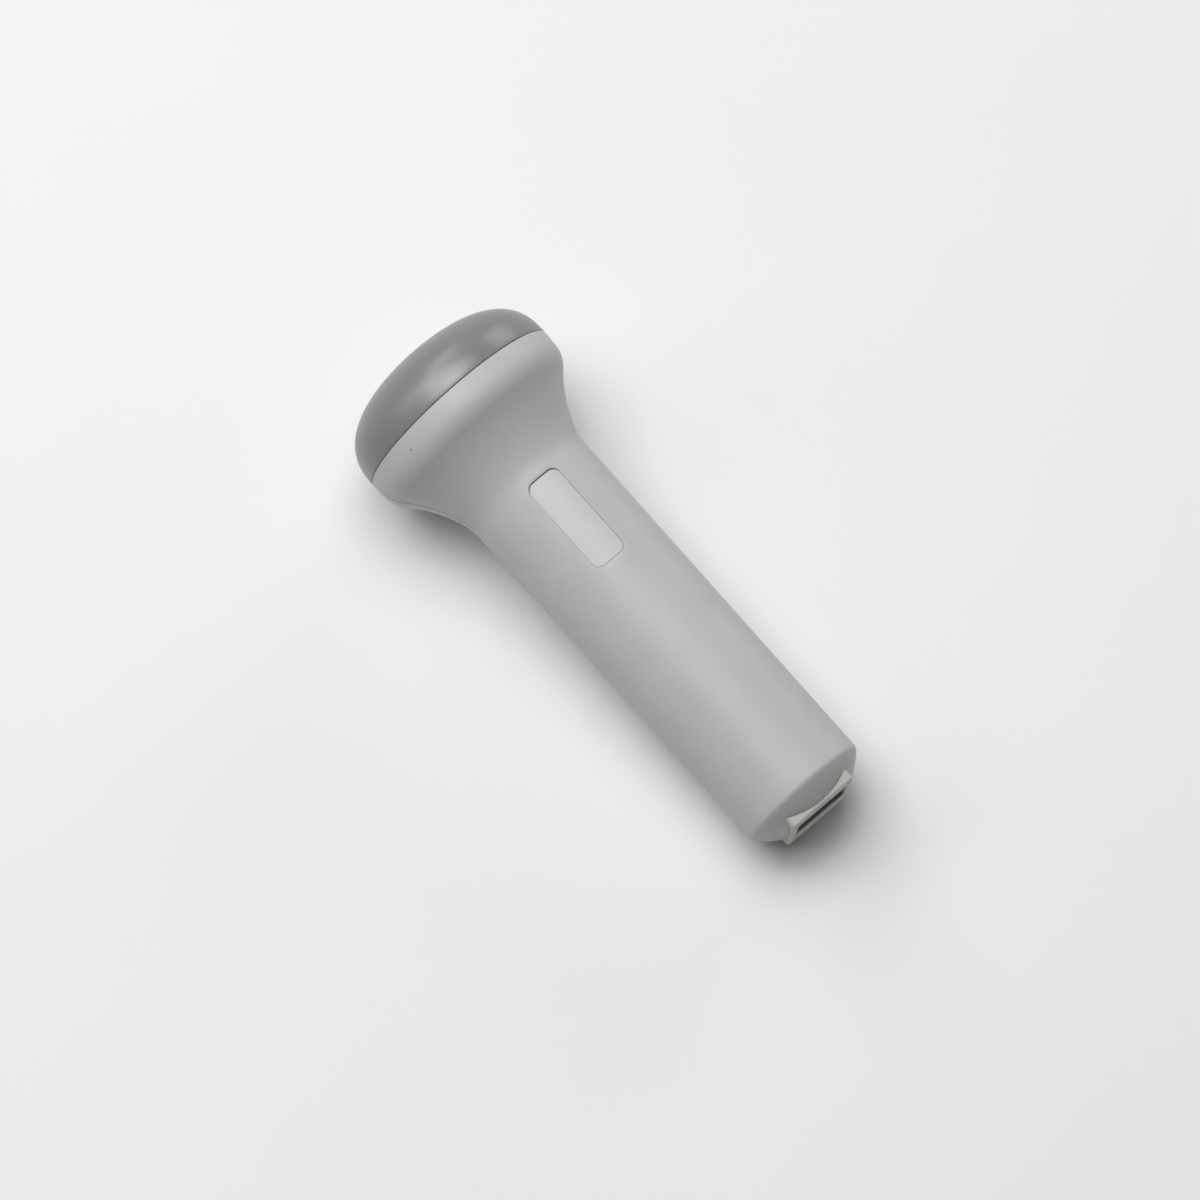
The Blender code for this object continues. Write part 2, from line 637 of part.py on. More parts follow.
def make_shell(name, side):
    """Half of the casing, above or below the parting plane, with half of each case screw's boss."""
    shell = turned(name, shell_profile(), "shell_plastic")

    start = inner_dome_station(HANDLE_BORE) - OVERCUT
    window = extruded(
        f"{name}_socket_window", socket_outline(FIT_GAP, start), (DOME_TIP + OVERCUT - start, 0, 0)
    )
    boolean(shell, "DIFFERENCE", window)

    reach = HEAD_RADIUS + OVERCUT
    split = side * SEAM_GAP / 2
    low, high = sorted((split, side * reach))
    half = block(f"{name}_half", (-OVERCUT, -reach, low), (DOME_TIP + OVERCUT, reach, high))
    boolean(shell, "INTERSECT", half)

    low, high = sorted((split, side * IN_WALL))
    for screw in ("case_screw_1", "case_screw_2"):
        place = (layout()[screw], 0.0)
        boss = upright_cylinder(f"{name}_{screw}_boss", place, low, high, BOSS_RADIUS)
        boolean(shell, "UNION", boss)
        tip = CASE_SCREW_LENGTH - CASE_SEAT + OVERCUT
        radius = CASE_SCREW_RADIUS + FIT_GAP
        bore = upright_cylinder(f"{name}_{screw}_bore", place, -reach, tip, radius)
        boolean(shell, "DIFFERENCE", bore)
    return shell


def make_upper_shell():
    shell = make_shell("upper_shell", 1.0)
    recess = label_prism("label_recess", 0.0)
    boolean(recess, "DIFFERENCE", label_core("label_recess_floor", label_floor()))
    boolean(shell, "DIFFERENCE", recess)


def make_lower_shell():
    """The lower half, with seats for the case screws' heads and posts for the circuit board."""
    shell = make_shell("lower_shell", -1.0)
    for screw in ("case_screw_1", "case_screw_2"):
        place = (layout()[screw], 0.0)
        radius = CASE_HEAD_RADIUS + FIT_GAP
        sink = upright_cylinder(f"{screw}_sink", place, -HEAD_RADIUS, -CASE_SEAT, radius)
        boolean(shell, "DIFFERENCE", sink)
    for screw in ("board_screw_1", "board_screw_2"):
        place = (layout()[screw], 0.0)
        post = upright_cylinder(
            f"{screw}_post", place, -IN_WALL, BOARD_UNDERSIDE - BOND_GAP, POST_RADIUS
        )
        boolean(shell, "UNION", post)
        pilot_end = FOOTING - BOARD_SCREW_LENGTH - OVERCUT
        radius = BOARD_SCREW_RADIUS + FIT_GAP
        boolean(shell, "DIFFERENCE", upright_cylinder(f"{screw}_pilot", place, pilot_end, 0.0, radius))


def cross_cutter(name, head_radius):
    """Cutter for the cross recess of a screw whose head starts at X = 0."""
    half_width = 0.15 * head_radius
    arm = 0.6 * head_radius
    corners = [
        (half_width, arm),
        (half_width, half_width),
        (arm, half_width),
        (arm, -half_width),
        (half_width, -half_width),
        (half_width, -arm),
    ]
    corners += [(-y, -z) for y, z in corners]
    outline = [(-OVERCUT, y, z) for y, z in corners]
    return extruded(name, outline, (OVERCUT + SCREW_HEAD_HEIGHT / 2, 0, 0))


def make_screw(name, under_head, upwards, shank_radius, head_radius, length):
    """Pan-head screw along Z at its own station, with the underside of its head at a height."""
    head_round = 0.3 * SCREW_HEAD_HEIGHT
    end = SCREW_HEAD_HEIGHT + length
    profile = [
        (0.0, 0.0),
        (0.0, head_radius - head_round),
        (head_round, head_radius),
        (SCREW_HEAD_HEIGHT, head_radius),
        (SCREW_HEAD_HEIGHT, shank_radius),
        (end - shank_radius, shank_radius),
        (end, shank_radius / 3),
        (end, 0.0),
    ]
    screw = turned(name, profile, "screw_steel", SMALL_SEGMENTS)
    cutter = cross_cutter(f"{name}_cross", head_radius)
    boolean(screw, "DIFFERENCE", cutter)
    sign = 1.0 if upwards else -1.0
    for obj in (screw, cutter):
        obj.rotation_euler = (0.0, -sign * math.pi / 2, 0.0)
        obj.location = (layout()[name], 0.0, under_head - sign * SCREW_HEAD_HEIGHT)


def make_screws():
    case_sizes = (CASE_SCREW_RADIUS, CASE_HEAD_RADIUS, CASE_SCREW_LENGTH)
    board_sizes = (BOARD_SCREW_RADIUS, BOARD_HEAD_RADIUS, BOARD_SCREW_LENGTH)
    for number in (1, 2):
        make_screw(f"case_screw_{number}", -CASE_SEAT - FIT_GAP, True, *case_sizes)
        make_screw(f"board_screw_{number}", FOOTING, False, *board_sizes)


def make_board():
    """Circuit board on the lower shell's posts, with a hole that clears the second boss."""
    stations = layout()
    low = (stations["board_start"], -BOARD_WIDTH / 2, BOARD_UNDERSIDE)
    board = block("circuit_board", low, (BOARD_END, BOARD_WIDTH / 2, BOARD_TOP), "board_laminate")
    holes = (
        ("board_screw_1", BOARD_SCREW_RADIUS),
        ("board_screw_2", BOARD_SCREW_RADIUS),
        ("case_screw_2", BOSS_RADIUS),
    )
    for screw, radius in holes:
        hole = upright_cylinder(
            f"board_hole_for_{screw}",
            (stations[screw], 0.0),
            BOARD_UNDERSIDE - OVERCUT,
            BOARD_TOP + OVERCUT,
            radius + FIT_GAP,
        )
        boolean(board, "DIFFERENCE", hole)


def on_board(name, place, size, look):
    """Block of a given size that stands on the board, centred on a place (x, y)."""
    low = (place[0] - size[0] / 2, place[1] - size[1] / 2, FOOTING)
    high = (place[0] + size[0] / 2, place[1] + size[1] / 2, FOOTING + size[2])
    return block(name, low, high, look)


def make_receiver(station):
    """Amplifier chip under its screening can, which is open towards the board."""
    can = on_board("shield_can", (station, 0.0), CAN_SIZE, "can_tinplate")
    inner = [CAN_SIZE[0] - 2 * CAN_WALL, CAN_SIZE[1] - 2 * CAN_WALL, CAN_SIZE[2] - CAN_WALL]
    low = (station - inner[0] / 2, -inner[1] / 2, BOARD_UNDERSIDE)
    high = (station + inner[0] / 2, inner[1] / 2, FOOTING + inner[2])
    boolean(can, "DIFFERENCE", block("shield_can_hollow", low, high))
    on_board("amplifier_chip", (station, 0.0), AMPLIFIER_SIZE, "chip_resin")


def make_components():
    """What stands on the board, from the head end backwards."""
    stations = layout()
    pitch = CHIP_CAPACITOR_SIZE[1] + PART_SPACING
    for number in range(CHIP_CAPACITOR_COUNT):
        side = (number - (CHIP_CAPACITOR_COUNT - 1) / 2) * pitch
        place = (stations["chip_capacitors"], side)
        on_board(f"chip_capacitor_{number + 1}", place, CHIP_CAPACITOR_SIZE, "capacitor_ceramic")

    make_receiver(stations["receiver"])

    driver_place = (stations["driver"], (DRIVER_SIZE[1] + PART_SPACING) / 2)
    on_board("driver_chip", driver_place, DRIVER_SIZE, "chip_resin")
    resonator_place = (stations["driver"], -(RESONATOR_SIZE[1] + PART_SPACING) / 2)
    on_board("resonator_can", resonator_place, RESONATOR_SIZE, "can_tinplate")

    coil_place = (stations["coil"], COIL_RADIUS + PART_SPACING / 2)
    coil_top = FOOTING + COIL_HEIGHT
    upright_cylinder("tuning_coil", coil_place, FOOTING, coil_top, COIL_RADIUS, "coil_ferrite")
    capacitor_place = (stations["coil"], -RESERVOIR_RADIUS - PART_SPACING / 2)
    capacitor_top = FOOTING + RESERVOIR_HEIGHT
    upright_cylinder(
        "reservoir_capacitor",
        capacitor_place,
        FOOTING,
        capacitor_top,
        RESERVOIR_RADIUS,
        "capacitor_sleeve",
    )


def make_socket_block():
    """The socket's block, with its front edges chamfered."""
    bm = bmesh.new()
    sections = ((SOCKET_BACK, 0.0), (SOCKET_FACE - SOCKET_CHAMFER, 0.0), (SOCKET_FACE, -SOCKET_CHAMFER))
    loops = []
    for station, grow in sections:
        loops.append([bm.verts.new(point) for point in socket_outline(grow, station)])
    for first, second in zip(loops, loops[1:]):
        for i, vert in enumerate(first):
            j = (i + 1) % len(first)
            bm.faces.new((vert, first[j], second[j], second[i]))
    bm.faces.new(loops[0])
    bm.faces.new(loops[-1])
    return add_object("socket_housing", bm, "socket_plastic")


def make_socket_housing():
    """Block with a plug mouth, a latch pocket, a slot for the contacts and two tabs that sit behind
    the wall of the domed end."""
    housing = make_socket_block()

    tab_corner = HANDLE_BORE - FIT_GAP
    tab_top = math.sqrt(tab_corner**2 - (TAB_WIDTH / 2) ** 2)
    tab_front = inner_dome_station(tab_corner) - FIT_GAP
    low = (tab_front - TAB_LENGTH, -TAB_WIDTH / 2, -tab_top)
    boolean(housing, "UNION", block("socket_tabs", low, (tab_front, TAB_WIDTH / 2, tab_top)))

    low = (MOUTH_BACK, -MOUTH_WIDTH / 2, MOUTH_FLOOR)
    mouth = block("mouth", low, (SOCKET_FACE + OVERCUT, MOUTH_WIDTH / 2, MOUTH_ROOF))
    for cutter in (mouth, latch_cutter(), contact_cutter()):
        boolean(housing, "DIFFERENCE", cutter)


def latch_cutter():
    """Cutter for the pocket of the plug's latch, through the floors of the insert and the mouth."""
    low = (SOCKET_FACE - LATCH_DEPTH, -LATCH_WIDTH / 2, MOUTH_FLOOR - LATCH_DROP)
    high = (SOCKET_FACE - LATCH_LIP, LATCH_WIDTH / 2, INSERT_FLOOR + BOND_GAP)
    return block("latch_pocket", low, high)


def contact_cutter():
    """Cutter for the contacts' slot, through the back walls of the housing and the insert."""
    half_row = ((CONTACT_COUNT - 1) * CONTACT_PITCH + CONTACT_WIDTH) / 2 + FIT_GAP
    half_slot = CONTACT_THICKNESS / 2 + FIT_GAP
    insert_back = MOUTH_BACK + BOND_GAP + INSERT_BACK_WALL
    return block(
        "contact_slot",
        (SOCKET_BACK - OVERCUT, -half_row, CONTACT_LEVEL - half_slot),
        (insert_back + OVERCUT, half_row, CONTACT_LEVEL + half_slot),
    )


def make_socket_insert():
    """Dark sleeve that lines the mouth, with a back wall that the contacts pass through."""
    half_width = MOUTH_WIDTH / 2 - BOND_GAP
    low = (MOUTH_BACK + BOND_GAP, -half_width, MOUTH_FLOOR + BOND_GAP)
    high = (SOCKET_FACE - INSERT_INSET, half_width, MOUTH_ROOF - BOND_GAP)
    insert = block("socket_insert", low, high, "insert_plastic")
    hollow = block(
        "insert_hollow",
        (low[0] + INSERT_BACK_WALL, -half_width + INSERT_WALL, INSERT_FLOOR),
        (SOCKET_FACE + OVERCUT, half_width - INSERT_WALL, INSERT_ROOF),
    )
    for cutter in (hollow, latch_cutter(), contact_cutter()):
        boolean(insert, "DIFFERENCE", cutter)


def strip(points, thickness):
    """Outline of a bent strip of an even thickness, from the (x, z) points of its middle line."""
    runs = [(b - a).normalized() for a, b in zip(points, points[1:])]
    upper = []
    lower = []
    for point, before, after in zip(points, runs[:1] + runs, runs + runs[-1:]):
        along = (before + after).normalized()
        across = Vector((-along.y, along.x)) * thickness / 2 / along.dot(before)
        upper.append(point + across)
        lower.append(point - across)
    return upper + lower[::-1]


def make_contacts():
    """Leaf contacts: a foot on the board, a riser, and a bowed leaf under the roof of the insert."""
    foot_level = FOOTING + CONTACT_THICKNESS / 2
    riser = SOCKET_BACK - FIT_GAP - RIB_LENGTH / 2
    bow_start = MOUTH_BACK + BOW_SETBACK
    bow_end = SOCKET_FACE - BOW_SETBACK
    middle_line = [
        Vector((BOARD_END - CONTACT_FOOT, foot_level)),
        Vector((riser, foot_level)),
        Vector((riser, CONTACT_LEVEL)),
    ]
    steps = 6
    for step in range(steps + 1):
        x = bow_start + (bow_end - bow_start) * step / steps
        bow = CONTACT_BOW * math.sin(math.pi * step / steps) ** 2
        middle_line.append(Vector((x, CONTACT_LEVEL - bow)))
    outline = strip(middle_line, CONTACT_THICKNESS)
    for number in range(CONTACT_COUNT):
        side = (number - (CONTACT_COUNT - 1) / 2) * CONTACT_PITCH - CONTACT_WIDTH / 2
        points = [(point.x, side, point.y) for point in outline]
        extruded(f"socket_contact_{number + 1}", points, (0, CONTACT_WIDTH, 0), "contact_gold")


def depth_below_axis(line, tilt):
    """How far a turned line of (x, r) points reaches below the frame's origin, once tilted."""
    facet = math.cos(math.pi / SEGMENTS)
    return max(x * math.sin(tilt) + r * facet * math.cos(tilt) for x, r in line)


def lay_down():
    """Tilts the probe until the head and the handle's end reach equally deep, lifts them both to
    Z = 0, and centres the length over the origin."""
    head = [(EDGE_CHAMFER, HEAD_RADIUS)] + [(x, r) for x, r, _ in head_curve()]
    rim = [(HANDLE_END, HANDLE_END_RADIUS)] + [(x, r) for x, r, _ in end_curve()]
    low = 0.0
    high = math.radians(45.0)
    for _ in range(40):
        tilt = (low + high) / 2
        if depth_below_axis(head, tilt) > depth_below_axis(rim, tilt):
            low = tilt
        else:
            high = tilt

    facet = math.cos(math.pi / SEGMENTS)
    front = min(x * math.cos(tilt) - r * facet * math.sin(tilt) for x, r in window_line())
    face_top = SOCKET_HEIGHT / 2 - SOCKET_CHAMFER
    back = SOCKET_FACE * math.cos(tilt) + face_top * math.sin(tilt)
    probe_axis = bpy.data.objects["probe_axis"]
    probe_axis.rotation_euler = (0.0, tilt, 0.0)
    probe_axis.location = (-(front + back) / 2, 0.0, depth_below_axis(head, tilt))


def main():
    clear_scene()
    probe_axis = bpy.data.objects.new("probe_axis", None)
    bpy.context.scene.collection.objects.link(probe_axis)
    make_face_cap()
    make_cap_seal()
    make_sound_stack()
    make_upper_shell()
    make_lower_shell()
    make_label()
    make_screws()
    make_board()
    make_components()
    make_lead("transmit_lead", 1.0)
    make_lead("receive_lead", -1.0)
    make_socket_housing()
    make_socket_insert()
    make_contacts()
    lay_down()


main()
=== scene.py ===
"""Looks of the doppler probe: finely turned casing, window, name plate and socket in place of the
faceted CAD solids, a procedural material on every piece, a pale floor, soft light and the camera.

The pieces are modelled in the probe's own frame, as in the CAD model: X runs along the axis from
the seam of the head towards the socket, and Z points up through the name plate.
"""

import json
import math

import bmesh
import bpy
from mathutils import Matrix, Vector


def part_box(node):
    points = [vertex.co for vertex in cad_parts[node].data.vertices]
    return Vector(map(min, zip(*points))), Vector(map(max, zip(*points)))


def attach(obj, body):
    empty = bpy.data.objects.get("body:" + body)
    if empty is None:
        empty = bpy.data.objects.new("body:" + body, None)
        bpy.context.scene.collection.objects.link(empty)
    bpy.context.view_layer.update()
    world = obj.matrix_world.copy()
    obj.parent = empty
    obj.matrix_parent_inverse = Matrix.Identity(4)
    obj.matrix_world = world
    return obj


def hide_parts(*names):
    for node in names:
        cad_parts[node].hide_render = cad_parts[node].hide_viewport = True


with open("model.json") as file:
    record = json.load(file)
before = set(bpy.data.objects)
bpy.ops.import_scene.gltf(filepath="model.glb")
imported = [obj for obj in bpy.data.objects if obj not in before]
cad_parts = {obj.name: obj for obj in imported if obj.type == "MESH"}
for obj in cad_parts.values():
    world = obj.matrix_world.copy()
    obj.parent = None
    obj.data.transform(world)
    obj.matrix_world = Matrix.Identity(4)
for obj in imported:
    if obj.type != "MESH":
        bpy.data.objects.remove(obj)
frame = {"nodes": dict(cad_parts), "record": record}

MM = 0.001

# Clearances of the solids, and how far a cutter runs past what it cuts. A gap whose name ends in
# SEEN is drawn narrower than that, as the photograph shows it.
FIT_GAP = 0.3 * MM
SEAM_GAP = 0.25 * MM
SEAL_GAP = 0.2 * MM
BOND_GAP = 0.15 * MM
OVERCUT = 1.0 * MM

# Cable socket
MOUTH_WIDTH = 12.2 * MM
MOUTH_HEIGHT = 7.4 * MM
MOUTH_DEPTH = 12.8 * MM
LATCH_WIDTH = 6.2 * MM
LATCH_DROP = 3.0 * MM
LATCH_DEPTH = 8.8 * MM
LATCH_LIP = 2.2 * MM
SOCKET_SIDE_WALL = 1.4 * MM
SOCKET_ROOF = 2.4 * MM
SOCKET_FLOOR = 3.2 * MM
SOCKET_BACK_WALL = 3.2 * MM
SOCKET_CORNER = 0.8 * MM
SOCKET_CHAMFER = 0.6 * MM
SOCKET_ROOM = 0.46 * MM
SOCKET_GAP_SEEN = 0.02 * MM
TAB_WIDTH = 8.0 * MM
TAB_LENGTH = 2.0 * MM
RIB_HEIGHT = 1.7 * MM
RIB_LENGTH = 1.6 * MM
SOCKET_WIDTH = MOUTH_WIDTH + 2 * SOCKET_SIDE_WALL
SOCKET_HEIGHT = SOCKET_ROOF + MOUTH_HEIGHT + LATCH_DROP + SOCKET_FLOOR
SOCKET_LENGTH = MOUTH_DEPTH + SOCKET_BACK_WALL
SOCKET_REACH = SOCKET_CORNER + math.hypot(
    SOCKET_WIDTH / 2 - SOCKET_CORNER, SOCKET_HEIGHT / 2 - SOCKET_CORNER
)
MOUTH_ROOF = SOCKET_HEIGHT / 2 - SOCKET_ROOF
MOUTH_FLOOR = MOUTH_ROOF - MOUTH_HEIGHT

# Insert that lines the socket's mouth, and the slot that its contacts pass through
INSERT_WALL = 0.5 * MM
INSERT_BACK_WALL = 1.5 * MM
INSERT_INSET = 0.2 * MM
INSERT_ROOF = MOUTH_ROOF - BOND_GAP - INSERT_WALL
INSERT_FLOOR = MOUTH_FLOOR + BOND_GAP + INSERT_WALL
CONTACT_SLOT_HEIGHT = 0.85 * MM
CONTACT_SLOT_HALF_WIDTH = 4.12 * MM

# Handle and its domed end
HANDLE_END = 98.35 * MM
HANDLE_WALL = 2.2 * MM
HANDLE_DRAFT = 0.25 * MM
HANDLE_BORE = SOCKET_REACH + SOCKET_ROOM
HANDLE_END_RADIUS = HANDLE_BORE + HANDLE_WALL
HANDLE_RADIUS = HANDLE_END_RADIUS + HANDLE_DRAFT
IN_WALL = HANDLE_BORE + HANDLE_WALL / 2
RIM_ROUND = 1.6 * MM
END_DOME_RADIUS = 17.6 * MM
SOCKET_SETBACK = 1.2 * MM
END_DOME_CENTRE = HANDLE_END - math.sqrt(
    (END_DOME_RADIUS - RIM_ROUND) ** 2 - (HANDLE_END_RADIUS - RIM_ROUND) ** 2
)
DOME_TIP = END_DOME_CENTRE + END_DOME_RADIUS
SOCKET_FACE = DOME_TIP - SOCKET_SETBACK
MOUTH_BACK = SOCKET_FACE - MOUTH_DEPTH
SOCKET_BACK = SOCKET_FACE - SOCKET_LENGTH
RIB_START = SOCKET_BACK - FIT_GAP - RIB_LENGTH

# Head and neck, whose falls are the angles that their surfaces drop by
HEAD_RADIUS = 22.0 * MM
HEAD_WALL = 2.7 * MM
BAND_LENGTH = 3.2 * MM
BAND_FALL = math.radians(2.0)
SHOULDER_RADIUS = 6.2 * MM
SHOULDER_FALL = math.radians(43.0)
NECK_FALL = math.radians(16.0)
NECK_WALL = 2.3 * MM
CREASE_RADIUS = 11.0 * MM
SEAM_ROUND = 0.15 * MM
SEAM_SEEN = 0.09 * MM
HEAD_BORE = HEAD_RADIUS - HEAD_WALL

# Sound window
CAP_DEPTH = 12.8 * MM
CAP_FULLNESS = 2.55
SPIGOT_LENGTH = 4.0 * MM
SPIGOT_WALL = 1.5 * MM
STOP_LEDGE = 1.7 * MM
SEAL_SECTION = 1.0 * MM
SEAL_FRONT_WALL = 1.0 * MM
SEAT_INSET = 2.9 * MM
SEAT_CORNER_DEPTH = 4.15 * MM
SEAT_STATION = -9.25 * MM
SPIGOT_RADIUS = HEAD_BORE - FIT_GAP
SEAL_ROOM = SEAL_SECTION + 2 * SEAL_GAP
GROOVE_FLOOR = HEAD_BORE - SEAL_ROOM
CAVITY_RADIUS = GROOVE_FLOOR - SPIGOT_WALL
SEAT_RADIUS = CAVITY_RADIUS - SEAT_INSET

# Name plate and its recess. The plate is a little smaller than the recess and lies a little towards
# the socket, as the photograph shows it.
LABEL_LENGTH = 20.9 * MM
LABEL_WIDTH = 7.3 * MM
LABEL_CORNER = 1.7 * MM
LABEL_RECESS = 0.7 * MM
LABEL_THICKNESS = 0.4 * MM
LABEL_SIDE_GAP = 0.05 * MM
LABEL_END_GAP = 0.17 * MM
LABEL_SHIFT = 0.09 * MM

# Screw seats and posts inside the casing
BOARD_SCREW_RADIUS = 1.0 * MM
BOARD_SCREW_LENGTH = 5.0 * MM
BOARD_FOOTING = -3.85 * MM
POST_TOP = -5.75 * MM
POST_WALL = 1.0 * MM
CASE_SCREW_RADIUS = 1.2 * MM
CASE_SCREW_LENGTH = 15.5 * MM
CASE_HEAD_RADIUS = 2.2 * MM
SCREW_HEAD_HEIGHT = 1.5 * MM
HEAD_SINK = 2.0 * MM
BOSS_WALL = 1.1 * MM
BOSS_RADIUS = CASE_HEAD_RADIUS + FIT_GAP + BOSS_WALL
POST_RADIUS = BOARD_SCREW_RADIUS + FIT_GAP + POST_WALL
CASE_SEAT = HANDLE_RADIUS - HEAD_SINK - SCREW_HEAD_HEIGHT - FIT_GAP

# The CAD solids have flat sides: a round surface that touches their middles stays inside them. The
# inset keeps the finer curves inside too.
CAD_SIDES = 56
FINE_INSET = 0.03 * MM
ROUND_SCALE = math.cos(math.pi / CAD_SIDES) - FINE_INSET / HEAD_RADIUS

# Fineness of round surfaces: sides of a full turn, and steps of each curve
SEGMENTS = 192
SMALL_SEGMENTS = 48
SEAM_TURNS = (0.0, math.pi / 6, math.pi / 3, math.pi / 2)
SHOULDER_STEPS = 20
FLARE_STEPS = 20
CREASE_STEPS = 16
HANDLE_STEPS = 60
RIM_STEPS = 6
END_DOME_STEPS = 20
INNER_DOME_STEPS = 10
CAP_STEPS = 64
LABEL_CORNER_STEPS = 12
SOCKET_CORNER_STEPS = 8
SOCKET_FRONT_STEPS = 5

# Edges: those sharper than the first angle are softened, and shading runs on below the second
SHARP_ANGLE = math.radians(50.0)
SMOOTH_ANGLE = math.radians(35.0)
EDGE_SOFTNESS = 0.12 * MM
EDGE_STEPS = 2

# Distances that count as none, and as lying on the casing's outer surface
LEAST_LENGTH = 1e-7
ON_SURFACE = 0.01 * MM

# Photograph and camera. The aim is a point of the probe's axis, and the pixel where it shows.
PHOTO_SIZE = 1200
PIXEL = 0.18966 * MM
AIM_STATION = 45.6 * MM
AIM_PIXEL = (617.0, 585.0)
CAMERA_AZIMUTH = math.radians(48.5)
CAMERA_ELEVATION = math.radians(72.0)
CAMERA_DISTANCE = 1.5
CLIP_START = 0.1
CLIP_END = 20.0
SENSOR = 36.0

# Looks of the moulded pieces, by material. What a look leaves out is as moulded() has it.
PLASTICS = {
    "shell_plastic": dict(colour=(0.483, 0.483, 0.473), roughness=0.5),
    "window_plastic": dict(colour=(0.155, 0.162, 0.162), roughness=0.34, shine=0.85),
    "label_film": dict(colour=(0.543, 0.547, 0.562), roughness=0.45),
    "socket_plastic": dict(colour=(0.504, 0.504, 0.484), roughness=0.45),
    "insert_plastic": dict(colour=(0.02, 0.02, 0.02), roughness=0.5),
    "seal_rubber": dict(
        colour=(0.03, 0.03, 0.03), roughness=0.65, grain=0.2 * MM, depth=0.01 * MM, mottle=0.2
    ),
    "matching_resin": dict(colour=(0.45, 0.35, 0.20), roughness=0.4, grain=0.6 * MM),
    "piezo_ceramic": dict(colour=(0.72, 0.68, 0.58), roughness=0.45, grain=0.1 * MM),
    "divider_cork": dict(
        colour=(0.42, 0.28, 0.17), roughness=0.85, grain=0.8 * MM, depth=0.08 * MM, mottle=0.3
    ),
    "carrier_plastic": dict(colour=(0.72, 0.71, 0.67), roughness=0.5),
    "pad_foam": dict(
        colour=(0.12, 0.12, 0.13), roughness=0.9, grain=0.4 * MM, depth=0.1 * MM, mottle=0.25
    ),
    "lead_sleeve": dict(colour=(0.55, 0.56, 0.58), roughness=0.45),
    "board_laminate": dict(
        colour=(0.04, 0.22, 0.10), roughness=0.4, grain=0.5 * MM, depth=0.01 * MM, mottle=0.2
    ),
    "chip_resin": dict(
        colour=(0.04, 0.04, 0.045), roughness=0.5, grain=0.15 * MM, depth=0.01 * MM, mottle=0.15
    ),
    "coil_ferrite": dict(
        colour=(0.10, 0.10, 0.11), roughness=0.55, grain=0.3 * MM, depth=0.02 * MM, mottle=0.2
    ),
    "capacitor_sleeve": dict(colour=(0.08, 0.10, 0.22), roughness=0.35),
    "capacitor_ceramic": dict(colour=(0.50, 0.38, 0.25), roughness=0.5, grain=0.15 * MM),
}

# Looks of the metal pieces, by material. Marks are drawn out along X where the stretch is more than
# one along Y and Z.
METALS = {
    "screen_copper": dict(colour=(0.72, 0.42, 0.27), roughness=0.35),
    "screw_steel": dict(colour=(0.55, 0.55, 0.56), roughness=0.32),
    "can_tinplate": dict(colour=(0.66, 0.66, 0.64), roughness=0.3, stretch=(1.0, 6.0, 6.0)),
    "contact_gold": dict(colour=(0.85, 0.62, 0.25), roughness=0.22, stretch=(1.0, 5.0, 5.0)),
}

# Noise in the looks: the values that it mostly runs between, the size and detail of its patches,
# and how far it moves the gloss and the shade
NOISE_LOW = 0.3
NOISE_HIGH = 0.7
SHADE_PATCH = 12 * MM
SHADE_DETAIL = 3.0
GLOSS_PATCH = 5 * MM
FINE_DETAIL = 4.0
GLOSS_SPREAD = 0.04
MARK_SIZE = 0.3 * MM
MARK_DEPTH = 0.003 * MM
MARK_SHADE = 0.86
METAL_GLOSS_PATCH = 1.5 * MM
METAL_GLOSS_DROP = 0.07
METAL_GLOSS_RISE = 0.1

# Dirt specks on the casing: place in the probe's frame, radius and strength. Inside the core, which
# is a share of the radius, a speck has its full strength.
SPECKS = (
    ((3.0 * MM, -15.5 * MM, 15.5 * MM), 0.30 * MM, 0.8),
    ((15.5 * MM, 6.5 * MM, 13.4 * MM), 0.30 * MM, 0.22),
)
SPECK_CORE = 0.5
DIRT_COLOUR = (0.06, 0.05, 0.05)

# Floor, which reaches out to each side by a length in metres
FLOOR_COLOUR = (0.884, 0.877, 0.864)
FLOOR_ROUGHNESS = 0.9
FLOOR_REACH = 4.0
FLOOR_PATCH = 60 * MM
FLOOR_MOTTLE = 0.005

# Soft lights: name, turn on the floor from the photograph's right towards its top, rise above the
# floor, both in degrees, and power in watts
LAMP_SIZE = 0.75
LAMP_DISTANCE = 1.6
LIGHTS = (
    ("overhead_light", 0.0, 90.0, 4.0),
    ("far_light", 90.0, 72.0, 7.2),
    ("left_light", 180.0, 72.0, 6.0),
    ("head_light", 150.0, 55.0, 5.6),
    ("low_head_light", 120.0, 35.0, 3.7),
    ("low_left_light", 180.0, 35.0, 2.1),
    ("edge_light", 60.0, 15.0, 4.4),
)


def probe_frame():
    """Places the probe's own frame in the row's, from the mount on the socket's front face, which
    lies in the middle of the flat strip under the latch pocket."""
    mounts = {mount["name"]: mount for mount in frame["record"]["mounts"]}
    face = mounts["socket_face"]
    along = Vector(face["axis"])
    turn = Matrix.Rotation(math.atan2(-along.z, along.x), 4, "Y")
    strip_middle = -SOCKET_HEIGHT / 2 + SOCKET_FLOOR / 2 + SOCKET_CHAMFER / 2
    on_face = Vector((SOCKET_FACE, 0.0, strip_middle))
    return Matrix.Translation(Vector(face["pos_m"]) - turn @ on_face) @ turn


PROBE = probe_frame()


def station_of(node):
    """Where the middle of a CAD node is along the probe's axis."""
    low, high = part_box(node)
    return (PROBE.inverted() @ ((low + high) / 2)).x


def add_object(name, bm):
    """Turns a form into an object with its faces outwards, and uses the form up."""
    bmesh.ops.remove_doubles(bm, verts=bm.verts, dist=LEAST_LENGTH)
    bmesh.ops.recalc_face_normals(bm, faces=bm.faces)
    mesh = bpy.data.meshes.new(name)
    bm.to_mesh(mesh)
    bm.free()
    obj = bpy.data.objects.new(name, mesh)
    bpy.context.scene.collection.objects.link(obj)
    return obj


